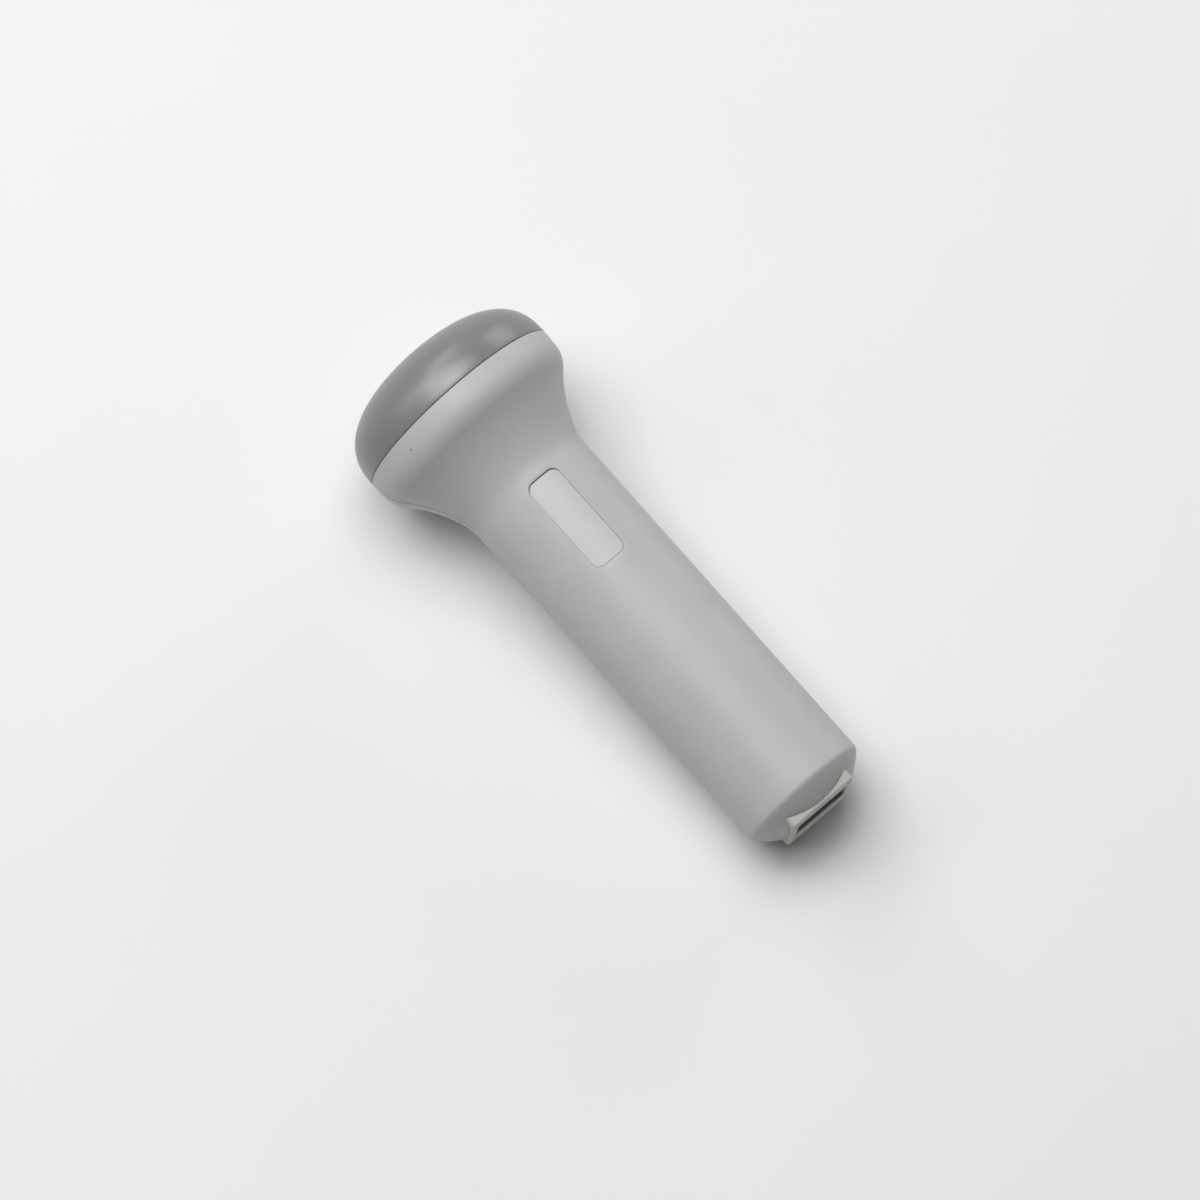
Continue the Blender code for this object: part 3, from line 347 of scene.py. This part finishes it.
def turned(name, profile, scale=ROUND_SCALE):
    """Solid of revolution about X from (x, radius) points, a closed loop or from axis to axis."""
    bm = bmesh.new()
    verts = [bm.verts.new((x, 0.0, r * scale)) for x, r in profile]
    pairs = list(zip(verts, verts[1:]))
    if profile[0][1] > LEAST_LENGTH:
        pairs.append((verts[-1], verts[0]))
    edges = [bm.edges.new(pair) for pair in pairs]
    bmesh.ops.spin(
        bm,
        geom=verts + edges,
        axis=(1, 0, 0),
        cent=(0, 0, 0),
        angle=2.0 * math.pi,
        steps=SEGMENTS,
        use_merge=True,
    )
    return add_object(name, bm)


def disc(start, thickness, radius):
    """Section of a flat disc."""
    end = start + thickness
    return [(start, 0.0), (start, radius), (end, radius), (end, 0.0)]


def extruded(name, outline, direction):
    """Solid made by pushing a flat outline of 3-D points along a direction."""
    bm = bmesh.new()
    face = bm.faces.new([bm.verts.new(point) for point in outline])
    grown = bmesh.ops.extrude_face_region(bm, geom=[face])
    moved = [item for item in grown["geom"] if isinstance(item, bmesh.types.BMVert)]
    bmesh.ops.translate(bm, verts=moved, vec=direction)
    return add_object(name, bm)


def block(name, low, high):
    """Rectangular solid between two corners."""
    outline = [
        (low[0], low[1], low[2]),
        (high[0], low[1], low[2]),
        (high[0], high[1], low[2]),
        (low[0], high[1], low[2]),
    ]
    return extruded(name, outline, (0, 0, high[2] - low[2]))


def upright_cylinder(name, station, low, high, radius):
    """Cylinder along Z on the probe's middle plane, between two levels."""
    turns = [2.0 * math.pi * step / SMALL_SEGMENTS for step in range(SMALL_SEGMENTS)]
    outline = [(station + radius * math.cos(t), radius * math.sin(t), low) for t in turns]
    return extruded(name, outline, (0, 0, high - low))


def rounded_rectangle(length, width, corner, steps):
    """Outline of a rectangle with round corners, centred on (0, 0)."""
    points = []
    for quarter, (side_x, side_y) in enumerate(((1, 1), (-1, 1), (-1, -1), (1, -1))):
        for step in range(steps + 1):
            angle = (quarter + step / steps) * math.pi / 2
            x = side_x * (length / 2 - corner) + corner * math.cos(angle)
            y = side_y * (width / 2 - corner) + corner * math.sin(angle)
            points.append((x, y))
    return points


def carve(target, *steps):
    """Applies booleans to a solid. Each step is an operation and a cutter, which is used up."""
    for operation, cutter in steps:
        modifier = target.modifiers.new(cutter.name, "BOOLEAN")
        modifier.operation = operation
        modifier.solver = "EXACT"
        modifier.object = cutter
    bpy.context.view_layer.update()
    evaluated = target.evaluated_get(bpy.context.evaluated_depsgraph_get())
    mesh = bpy.data.meshes.new_from_object(evaluated)
    target.modifiers.clear()
    target.data = mesh
    for _, cutter in steps:
        bpy.data.objects.remove(cutter)


def soften_edges(obj, chosen):
    """Rounds the sharp edges whose two ends are both chosen by a test of their place."""
    bm = bmesh.new()
    bm.from_mesh(obj.data)
    edges = []
    for edge in bm.edges:
        if len(edge.link_faces) == 2 and edge.calc_face_angle() > SHARP_ANGLE:
            if all(chosen(vert.co) for vert in edge.verts):
                edges.append(edge)
    bmesh.ops.bevel(
        bm,
        geom=edges,
        offset=EDGE_SOFTNESS,
        offset_type="OFFSET",
        segments=EDGE_STEPS,
        profile=0.5,
        affect="EDGES",
        clamp_overlap=False,
    )
    bm.to_mesh(obj.data)
    bm.free()


def smooth(obj):
    """Shades a piece smoothly, but for its sharper edges."""
    obj.data.shade_smooth()
    obj.data.set_sharp_from_angle(angle=SMOOTH_ANGLE)


def dress(obj, nodes, material):
    """Puts a finished piece in place of its CAD nodes, on the probe's one body."""
    obj.data.materials.clear()
    obj.data.materials.append(material)
    obj.data.transform(PROBE)
    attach(obj, "root")
    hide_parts(*nodes)


# Curves of the casing


def arc(start, radius, from_fall, to_fall, steps):
    """Points (x, r, fall) that leave start along a round curve, as its fall goes from one angle to
    another. The start itself is left out."""
    bend = 1.0 if to_fall > from_fall else -1.0
    centre_x = start[0] - bend * radius * math.sin(from_fall)
    centre_r = start[1] - bend * radius * math.cos(from_fall)
    points = []
    for step in range(1, steps + 1):
        fall = from_fall + (to_fall - from_fall) * step / steps
        x = centre_x + bend * radius * math.sin(fall)
        r = centre_r + bend * radius * math.cos(fall)
        points.append((x, r, fall))
    return points


def head_curve():
    """Points (x, r, fall) of the head's band and shoulder."""
    band_end = (BAND_LENGTH, HEAD_RADIUS - BAND_LENGTH * math.tan(BAND_FALL), BAND_FALL)
    shoulder = arc(band_end, SHOULDER_RADIUS, BAND_FALL, SHOULDER_FALL, SHOULDER_STEPS)
    return [band_end] + shoulder


def neck_curve():
    """Points (x, r, fall) of the flare and of the crease that leads into the handle."""
    start = head_curve()[-1]
    crease_drop = CREASE_RADIUS * (1.0 - math.cos(NECK_FALL))
    drop = start[1] - HANDLE_RADIUS - crease_drop
    flare_radius = drop / (math.cos(NECK_FALL) - math.cos(SHOULDER_FALL))
    flare = arc(start, flare_radius, SHOULDER_FALL, NECK_FALL, FLARE_STEPS)
    return flare + arc(flare[-1], CREASE_RADIUS, NECK_FALL, 0.0, CREASE_STEPS)


def end_curve():
    """Points (x, r, fall) of the handle's round rim and domed end, to its tip."""
    dome_fall = math.acos((HANDLE_END_RADIUS - RIM_ROUND) / (END_DOME_RADIUS - RIM_ROUND))
    rim = arc((HANDLE_END, HANDLE_END_RADIUS), RIM_ROUND, 0.0, dome_fall, RIM_STEPS)
    return rim + arc(rim[-1], END_DOME_RADIUS, dome_fall, math.pi / 2, END_DOME_STEPS)


HANDLE_START = neck_curve()[-1][0]


def inner_dome_station(radius):
    """Where the inside of the domed end has a radius."""
    return END_DOME_CENTRE + math.sqrt((END_DOME_RADIUS - HANDLE_WALL) ** 2 - radius**2)


def outer_line():
    """Outside of the casing, from the seam to just short of the domed end's tip."""
    seam = [
        (SEAM_ROUND * (1.0 - math.cos(turn)), HEAD_RADIUS - SEAM_ROUND * (1.0 - math.sin(turn)))
        for turn in SEAM_TURNS
    ]
    line = seam + [(x, r) for x, r, _ in head_curve() + neck_curve()]
    for step in range(1, HANDLE_STEPS + 1):
        share = step / HANDLE_STEPS
        x = HANDLE_START + (HANDLE_END - HANDLE_START) * share
        line.append((x, HANDLE_RADIUS - HANDLE_DRAFT * share))
    return line + [(x, r) for x, r, _ in end_curve()[:-1]]


def inner_line():
    """Inside of the casing, from the inner tip of the domed end to the head's bore."""
    line = [(inner_dome_station(0.0), 0.0)]
    dome_radius = END_DOME_RADIUS - HANDLE_WALL
    bore_turn = math.asin(HANDLE_BORE / dome_radius)
    for step in range(1, INNER_DOME_STEPS + 1):
        radius = dome_radius * math.sin(bore_turn * step / INNER_DOME_STEPS)
        line.append((inner_dome_station(radius), radius))
    line += [
        (RIB_START + RIB_LENGTH, HANDLE_BORE),
        (RIB_START + RIB_LENGTH, HANDLE_BORE - RIB_HEIGHT),
        (RIB_START, HANDLE_BORE - RIB_HEIGHT),
        (RIB_START, HANDLE_BORE),
        (HANDLE_START, HANDLE_BORE),
    ]
    stop_radius = HEAD_BORE - STOP_LEDGE
    for x, r, fall in reversed(neck_curve()):
        offset = (x - NECK_WALL * math.sin(fall), r - NECK_WALL * math.cos(fall))
        if HANDLE_BORE + FIT_GAP < offset[1] < stop_radius - FIT_GAP:
            line.append(offset)
    spigot_end = SPIGOT_LENGTH + FIT_GAP
    return line + [(spigot_end, stop_radius), (spigot_end, HEAD_BORE), (0.0, HEAD_BORE)]


OUTER_LINE = outer_line()


def outer_radius(x):
    """Radius of the casing's outside at a station."""
    for (x0, r0), (x1, r1) in zip(OUTER_LINE, OUTER_LINE[1:]):
        if x0 <= x <= x1 and x1 > x0:
            return ROUND_SCALE * (r0 + (r1 - r0) * (x - x0) / (x1 - x0))
    return 0.0


def on_outside(point):
    """Whether a point of the casing lies on its outer surface."""
    return math.hypot(point.y, point.z) > outer_radius(point.x) - ON_SURFACE


# Casing


def label_floor():
    """Radius of the curved floor of the name plate's recess."""
    return outer_radius(station_of("label")) - LABEL_RECESS


def label_prism(name, end_gap, side_gap, shift):
    """Upright block with the outline of the name plate's recess, drawn in and moved along."""
    middle = station_of("label") + shift
    length = LABEL_LENGTH - 2 * end_gap
    width = LABEL_WIDTH - 2 * side_gap
    flat = rounded_rectangle(length, width, LABEL_CORNER - side_gap, LABEL_CORNER_STEPS)
    outline = [(middle + x, y, HANDLE_BORE / 2) for x, y in flat]
    return extruded(name, outline, (0, 0, HANDLE_RADIUS))


def label_core(name, radius):
    """Round core along the axis that gives the name plate or its recess a curved face."""
    start = station_of("label") - LABEL_LENGTH / 2 - OVERCUT
    return turned(name, disc(start, LABEL_LENGTH + 2 * OVERCUT, radius), scale=1.0)


def socket_outline(grow, station):
    """Rounded outline of the socket's block at a station, grown by a margin."""
    width = SOCKET_WIDTH + 2 * grow
    height = SOCKET_HEIGHT + 2 * grow
    corner = SOCKET_CORNER + max(grow, 0.0)
    flat = rounded_rectangle(width, height, corner, SOCKET_CORNER_STEPS)
    return [(station, y, z) for y, z in flat]


def half_casing(name, side):
    """Half of the casing on one side of the parting plane, before its own details are cut."""
    shell = turned(name, inner_line() + OUTER_LINE + [(DOME_TIP, 0.0)])
    start = inner_dome_station(HANDLE_BORE) - OVERCUT
    way_out = (DOME_TIP + OVERCUT - start, 0, 0)
    window = extruded("socket_window", socket_outline(SOCKET_GAP_SEEN, start), way_out)
    reach = HEAD_RADIUS + OVERCUT
    split = side * SEAM_GAP / 2
    low, high = sorted((split, side * reach))
    half = block("half", (-OVERCUT, -reach, low), (DOME_TIP + OVERCUT, reach, high))
    steps = [("DIFFERENCE", window), ("INTERSECT", half)]
    low, high = sorted((split, side * IN_WALL))
    for screw in ("case_screw_1", "case_screw_2"):
        station = station_of(screw)
        boss = upright_cylinder(f"{screw}_boss", station, low, high, BOSS_RADIUS)
        tip = CASE_SCREW_LENGTH - CASE_SEAT + OVERCUT
        radius = CASE_SCREW_RADIUS + FIT_GAP
        bore = upright_cylinder(f"{screw}_bore", station, -reach, tip, radius)
        steps += [("UNION", boss), ("DIFFERENCE", bore)]
    carve(shell, *steps)
    return shell


def make_upper_casing(material):
    """Upper half of the casing, with the name plate's recess."""
    shell = half_casing("upper_casing", 1.0)
    recess = label_prism("label_recess", 0.0, 0.0, 0.0)
    carve(recess, ("DIFFERENCE", label_core("label_recess_floor", label_floor())))
    carve(shell, ("DIFFERENCE", recess))
    soften_edges(shell, on_outside)
    smooth(shell)
    dress(shell, ["upper_shell"], material)


def make_lower_casing(material):
    """Lower half of the casing, with its screw seats and the board's posts."""
    shell = half_casing("lower_casing", -1.0)
    steps = []
    for screw in ("case_screw_1", "case_screw_2"):
        station = station_of(screw)
        radius = CASE_HEAD_RADIUS + FIT_GAP
        sink = upright_cylinder(f"{screw}_sink", station, -HEAD_RADIUS, -CASE_SEAT, radius)
        steps.append(("DIFFERENCE", sink))
    for screw in ("board_screw_1", "board_screw_2"):
        station = station_of(screw)
        post = upright_cylinder(f"{screw}_post", station, -IN_WALL, POST_TOP, POST_RADIUS)
        pilot_end = BOARD_FOOTING - BOARD_SCREW_LENGTH - OVERCUT
        radius = BOARD_SCREW_RADIUS + FIT_GAP
        pilot = upright_cylinder(f"{screw}_pilot", station, pilot_end, 0.0, radius)
        steps += [("UNION", post), ("DIFFERENCE", pilot)]
    carve(shell, *steps)
    soften_edges(shell, on_outside)
    smooth(shell)
    dress(shell, ["lower_shell"], material)


def make_sound_window(material):
    """The domed window, finely turned, with its spigot, seal groove and cavity."""
    full_depth = CAP_DEPTH - FINE_INSET
    profile = [(-SEAM_GAP - full_depth, 0.0)]
    for step in range(1, CAP_STEPS):
        angle = math.pi / 2 * (1.0 - step / CAP_STEPS)
        depth = full_depth * math.sin(angle) ** (2.0 / CAP_FULLNESS)
        radius = HEAD_RADIUS * math.cos(angle) ** (2.0 / CAP_FULLNESS)
        if depth > 2 * SEAM_ROUND:
            profile.append((-SEAM_GAP - depth, radius))
    for turn in SEAM_TURNS:
        x = -SEAM_SEEN - SEAM_ROUND * (1.0 - math.sin(turn))
        profile.append((x, HEAD_RADIUS - SEAM_ROUND * (1.0 - math.cos(turn))))
    groove_end = SEAL_FRONT_WALL + SEAL_ROOM
    profile += [
        (-SEAM_SEEN, SPIGOT_RADIUS),
        (SEAL_FRONT_WALL, SPIGOT_RADIUS),
        (SEAL_FRONT_WALL, GROOVE_FLOOR),
        (groove_end, GROOVE_FLOOR),
        (groove_end, SPIGOT_RADIUS),
        (SPIGOT_LENGTH, SPIGOT_RADIUS),
        (SPIGOT_LENGTH, CAVITY_RADIUS),
        (-SEAT_CORNER_DEPTH, CAVITY_RADIUS),
        (SEAT_STATION, SEAT_RADIUS),
        (SEAT_STATION, 0.0),
    ]
    window = turned("sound_window", profile)
    smooth(window)
    dress(window, ["face_cap"], material)


def make_name_plate(material):
    """The bare plate, curved as the handle is."""
    underside = label_floor() + BOND_GAP
    plate = label_prism("name_plate", LABEL_END_GAP, LABEL_SIDE_GAP, LABEL_SHIFT)
    carve(
        plate,
        ("INTERSECT", label_core("plate_top", underside + LABEL_THICKNESS)),
        ("DIFFERENCE", label_core("plate_underside", underside)),
    )
    smooth(plate)
    dress(plate, ["label"], material)


def make_cable_socket(material):
    """The socket's block with its round front edges, mouth, latch pocket, contact slot and tabs."""
    bm = bmesh.new()
    front = SOCKET_FACE - FINE_INSET
    loops = [[bm.verts.new(point) for point in socket_outline(0.0, SOCKET_BACK)]]
    for step in range(SOCKET_FRONT_STEPS + 1):
        turn = math.pi / 2 * step / SOCKET_FRONT_STEPS
        station = front - SOCKET_CHAMFER * (1.0 - math.sin(turn))
        outline = socket_outline(-SOCKET_CHAMFER * (1.0 - math.cos(turn)), station)
        loops.append([bm.verts.new(point) for point in outline])
    for first, second in zip(loops, loops[1:]):
        for i, vert in enumerate(first):
            j = (i + 1) % len(first)
            bm.faces.new((vert, first[j], second[j], second[i]))
    bm.faces.new(loops[0])
    bm.faces.new(loops[-1])
    housing = add_object("cable_socket", bm)

    tab_corner = HANDLE_BORE - FIT_GAP
    tab_top = math.sqrt(tab_corner**2 - (TAB_WIDTH / 2) ** 2)
    tab_front = inner_dome_station(tab_corner) - FIT_GAP
    low = (tab_front - TAB_LENGTH, -TAB_WIDTH / 2, -tab_top)
    tabs = block("tabs", low, (tab_front, TAB_WIDTH / 2, tab_top))

    low = (MOUTH_BACK, -MOUTH_WIDTH / 2, MOUTH_FLOOR)
    mouth = block("mouth", low, (SOCKET_FACE + OVERCUT, MOUTH_WIDTH / 2, MOUTH_ROOF))
    carve(
        housing,
        ("UNION", tabs),
        ("DIFFERENCE", mouth),
        ("DIFFERENCE", latch_cutter()),
        ("DIFFERENCE", contact_cutter()),
    )
    soften_edges(housing, lambda point: point.x > front - LEAST_LENGTH)
    smooth(housing)
    dress(housing, ["socket_housing"], material)


def latch_cutter():
    """Block that cuts the pocket for a plug's latch, under the mouth."""
    low = (SOCKET_FACE - LATCH_DEPTH, -LATCH_WIDTH / 2, MOUTH_FLOOR - LATCH_DROP)
    high = (SOCKET_FACE - LATCH_LIP, LATCH_WIDTH / 2, INSERT_FLOOR + BOND_GAP)
    return block("latch_pocket", low, high)


def contact_cutter():
    """Block that cuts the slot for the contacts, from the mouth out through the back."""
    insert_back = MOUTH_BACK + BOND_GAP + INSERT_BACK_WALL
    low = (SOCKET_BACK - OVERCUT, -CONTACT_SLOT_HALF_WIDTH, INSERT_ROOF - CONTACT_SLOT_HEIGHT)
    high = (insert_back + OVERCUT, CONTACT_SLOT_HALF_WIDTH, INSERT_ROOF)
    return block("contact_slot", low, high)


def make_socket_insert(material):
    """The dark sleeve in the mouth, with softened edges at its front."""
    half_width = MOUTH_WIDTH / 2 - BOND_GAP
    low = (MOUTH_BACK + BOND_GAP, -half_width, MOUTH_FLOOR + BOND_GAP)
    front = SOCKET_FACE - INSERT_INSET
    insert = block("mouth_insert", low, (front, half_width, MOUTH_ROOF - BOND_GAP))
    hollow = block(
        "insert_hollow",
        (low[0] + INSERT_BACK_WALL, -half_width + INSERT_WALL, INSERT_FLOOR),
        (SOCKET_FACE + OVERCUT, half_width - INSERT_WALL, INSERT_ROOF),
    )
    carve(
        insert,
        ("DIFFERENCE", hollow),
        ("DIFFERENCE", latch_cutter()),
        ("DIFFERENCE", contact_cutter()),
    )
    soften_edges(insert, lambda point: point.x > front - LEAST_LENGTH)
    smooth(insert)
    dress(insert, ["socket_insert"], material)


# Materials


def new_material(name, roughness, metallic=0.0):
    """A material, its node tree and its shader."""
    material = bpy.data.materials.new(name)
    material.use_nodes = True
    shader = material.node_tree.nodes["Principled BSDF"]
    shader.inputs["Roughness"].default_value = roughness
    shader.inputs["Metallic"].default_value = metallic
    return material, material.node_tree, shader


def noise(tree, size, detail=2.0, stretch=(1.0, 1.0, 1.0)):
    """Noise over the piece's own coordinates, with features of a size in metres."""
    place = tree.nodes.new("ShaderNodeTexCoord")
    scaled = tree.nodes.new("ShaderNodeMapping")
    scaled.inputs["Scale"].default_value = stretch
    texture = tree.nodes.new("ShaderNodeTexNoise")
    texture.inputs["Scale"].default_value = 1.0 / size
    texture.inputs["Detail"].default_value = detail
    tree.links.new(place.outputs["Object"], scaled.inputs["Vector"])
    tree.links.new(scaled.outputs["Vector"], texture.inputs["Vector"])
    return texture.outputs["Fac"]


def between(tree, factor, low, high):
    """A value that follows a noise from low to high."""
    spread = tree.nodes.new("ShaderNodeMapRange")
    spread.inputs["From Min"].default_value = NOISE_LOW
    spread.inputs["From Max"].default_value = NOISE_HIGH
    spread.inputs["To Min"].default_value = low
    spread.inputs["To Max"].default_value = high
    tree.links.new(factor, spread.inputs["Value"])
    return spread.outputs["Result"]


def blended(tree, factor, first, second):
    """A colour that follows a noise from the first colour to the second."""
    ramp = tree.nodes.new("ShaderNodeValToRGB")
    ramp.color_ramp.elements[0].position = NOISE_LOW
    ramp.color_ramp.elements[0].color = (*first, 1.0)
    ramp.color_ramp.elements[1].position = NOISE_HIGH
    ramp.color_ramp.elements[1].color = (*second, 1.0)
    tree.links.new(factor, ramp.inputs["Fac"])
    return ramp.outputs["Color"]


def bumped(tree, shader, height, depth):
    """Lets a noise stand out of the surface by a depth."""
    bump = tree.nodes.new("ShaderNodeBump")
    bump.inputs["Strength"].default_value = 1.0
    bump.inputs["Distance"].default_value = depth
    tree.links.new(height, bump.inputs["Height"])
    tree.links.new(bump.outputs["Normal"], shader.inputs["Normal"])


def shaded(colour, share):
    """A colour made darker or lighter."""
    return tuple(part * share for part in colour)


def moulded(name, colour, roughness, grain=0.35 * MM, depth=0.004 * MM, mottle=0.02, shine=0.5):
    """Moulded plastic: fine spark grain, and a faint change of shade and gloss over the surface."""
    material, tree, shader = new_material(name, roughness)
    shader.inputs["Specular IOR Level"].default_value = shine
    patches = noise(tree, SHADE_PATCH, SHADE_DETAIL)
    shade = blended(tree, patches, shaded(colour, 1 - mottle), shaded(colour, 1 + mottle))
    tree.links.new(shade, shader.inputs["Base Color"])
    gloss_patches = noise(tree, GLOSS_PATCH, FINE_DETAIL)
    gloss = between(tree, gloss_patches, roughness - GLOSS_SPREAD, roughness + GLOSS_SPREAD)
    tree.links.new(gloss, shader.inputs["Roughness"])
    bumped(tree, shader, noise(tree, grain), depth)
    return material


def specked(material):
    """Adds the two dirt specks that the photograph shows on the casing."""
    tree = material.node_tree
    shader = tree.nodes["Principled BSDF"]
    colour = shader.inputs["Base Color"].links[0].from_socket
    for place, radius, strength in SPECKS:
        where = tree.nodes.new("ShaderNodeTexCoord")
        distance = tree.nodes.new("ShaderNodeVectorMath")
        distance.operation = "DISTANCE"
        distance.inputs[1].default_value = PROBE @ Vector(place)
        tree.links.new(where.outputs["Object"], distance.inputs[0])
        dirt = tree.nodes.new("ShaderNodeMapRange")
        dirt.inputs["From Min"].default_value = radius
        dirt.inputs["From Max"].default_value = SPECK_CORE * radius
        dirt.inputs["To Min"].default_value = 0.0
        dirt.inputs["To Max"].default_value = strength
        tree.links.new(distance.outputs["Value"], dirt.inputs["Value"])
        mix = tree.nodes.new("ShaderNodeMix")
        mix.data_type = "RGBA"
        mix.inputs["B"].default_value = (*DIRT_COLOUR, 1.0)
        tree.links.new(dirt.outputs["Result"], mix.inputs["Factor"])
        tree.links.new(colour, mix.inputs["A"])
        colour = mix.outputs["Result"]
    tree.links.new(colour, shader.inputs["Base Color"])
    return material


def metal(name, colour, roughness, stretch=(1.0, 1.0, 1.0)):
    """Metal with fine marks, drawn out along one way where it is stretched."""
    material, tree, shader = new_material(name, roughness, 1.0)
    marks = noise(tree, MARK_SIZE, FINE_DETAIL, stretch)
    shade = blended(tree, marks, shaded(colour, MARK_SHADE), colour)
    tree.links.new(shade, shader.inputs["Base Color"])
    patches = noise(tree, METAL_GLOSS_PATCH, FINE_DETAIL, stretch)
    gloss = between(tree, patches, roughness - METAL_GLOSS_DROP, roughness + METAL_GLOSS_RISE)
    tree.links.new(gloss, shader.inputs["Roughness"])
    bumped(tree, shader, marks, MARK_DEPTH)
    return material


def look(name):
    """The material of a name, as the tables of plastics and metals have it."""
    if name in METALS:
        return metal(f"{name}_fine", **METALS[name])
    return moulded(f"{name}_fine", **PLASTICS[name])


def dress_inner_nodes():
    """Materials for the CAD nodes that stay, each as the real piece's."""
    slots = {part["node"]: part["material_slot"] for part in frame["record"]["subparts"]}
    kept = {name: obj for name, obj in frame["nodes"].items() if not obj.hide_render}
    looks = {slot: look(slot) for slot in sorted({slots[name] for name in kept})}
    for name, obj in kept.items():
        obj.data.materials.clear()
        obj.data.materials.append(looks[slots[name]])


# Floor, light and camera


def make_floor():
    """A wide level floor with a faint change of shade."""
    bm = bmesh.new()
    corners = ((-1, -1), (1, -1), (1, 1), (-1, 1))
    bm.faces.new([bm.verts.new((FLOOR_REACH * x, FLOOR_REACH * y, 0.0)) for x, y in corners])
    floor = add_object("floor", bm)
    material, tree, shader = new_material("pale_floor", FLOOR_ROUGHNESS)
    darker = shaded(FLOOR_COLOUR, 1 - FLOOR_MOTTLE)
    lighter = shaded(FLOOR_COLOUR, 1 + FLOOR_MOTTLE)
    shade = blended(tree, noise(tree, FLOOR_PATCH), darker, lighter)
    tree.links.new(shade, shader.inputs["Base Color"])
    floor.data.materials.append(material)


def photo_directions():
    """The photograph's right, up and towards-the-camera directions."""
    back = Vector(
        (
            math.sin(CAMERA_AZIMUTH) * math.cos(CAMERA_ELEVATION),
            -math.cos(CAMERA_AZIMUTH) * math.cos(CAMERA_ELEVATION),
            math.sin(CAMERA_ELEVATION),
        )
    )
    right = Vector((math.cos(CAMERA_AZIMUTH), math.sin(CAMERA_AZIMUTH), 0.0))
    return right, back.cross(right), back


def soft_light(name, turn, rise, power):
    """Square soft light that faces the probe from a direction, as the table of lights has it."""
    lamp = bpy.data.lights.new(name, "AREA")
    lamp.shape = "SQUARE"
    lamp.size = LAMP_SIZE
    lamp.energy = power
    obj = bpy.data.objects.new(name, lamp)
    bpy.context.scene.collection.objects.link(obj)
    across, _, _ = photo_directions()
    beyond = Vector((-across.y, across.x, 0.0))
    turn, rise = math.radians(turn), math.radians(rise)
    level = across * math.cos(turn) + beyond * math.sin(turn)
    obj.location = LAMP_DISTANCE * (level * math.cos(rise) + Vector((0.0, 0.0, math.sin(rise))))
    obj.rotation_euler = obj.location.to_track_quat("Z", "Y").to_euler()
    obj.visible_camera = False


def make_light():
    """The soft lights, and a pale world that shows past the floor and in gloss only."""
    for light in LIGHTS:
        soft_light(*light)
    world = bpy.data.worlds.new("studio")
    world.use_nodes = True
    tree = world.node_tree
    background = tree.nodes["Background"]
    background.inputs["Color"].default_value = (*FLOOR_COLOUR, 1.0)
    ray = tree.nodes.new("ShaderNodeLightPath")
    seen = ray.outputs["Is Camera Ray"]
    for kind in ("Is Glossy Ray", "Is Transmission Ray"):
        either = tree.nodes.new("ShaderNodeMath")
        either.operation = "MAXIMUM"
        tree.links.new(seen, either.inputs[0])
        tree.links.new(ray.outputs[kind], either.inputs[1])
        seen = either.outputs["Value"]
    tree.links.new(seen, background.inputs["Strength"])
    bpy.context.scene.world = world


def make_camera():
    """Camera at the photograph's angle, framed by the point and the pixel of its aim."""
    right, up, back = photo_directions()
    aim = PROBE @ Vector((AIM_STATION, 0.0, 0.0))
    middle = PHOTO_SIZE / 2
    centre = aim - right * (AIM_PIXEL[0] - middle) * PIXEL - up * (middle - AIM_PIXEL[1]) * PIXEL
    lens = bpy.data.cameras.new("photo_camera")
    lens.sensor_width = SENSOR
    lens.lens = SENSOR * CAMERA_DISTANCE / (PHOTO_SIZE * PIXEL)
    lens.clip_start = CLIP_START
    lens.clip_end = CLIP_END
    camera = bpy.data.objects.new("photo_camera", lens)
    bpy.context.scene.collection.objects.link(camera)
    turn = Matrix((right, up, back)).transposed().to_4x4()
    camera.matrix_world = Matrix.Translation(centre + back * CAMERA_DISTANCE) @ turn
    bpy.context.scene.camera = camera


def main():
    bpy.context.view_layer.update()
    shell_look = specked(look("shell_plastic"))
    make_upper_casing(shell_look)
    make_lower_casing(shell_look)
    make_sound_window(look("window_plastic"))
    make_name_plate(look("label_film"))
    make_cable_socket(look("socket_plastic"))
    make_socket_insert(look("insert_plastic"))
    dress_inner_nodes()
    make_floor()
    make_light()
    make_camera()
    bpy.context.scene.view_settings.view_transform = "Standard"


main()
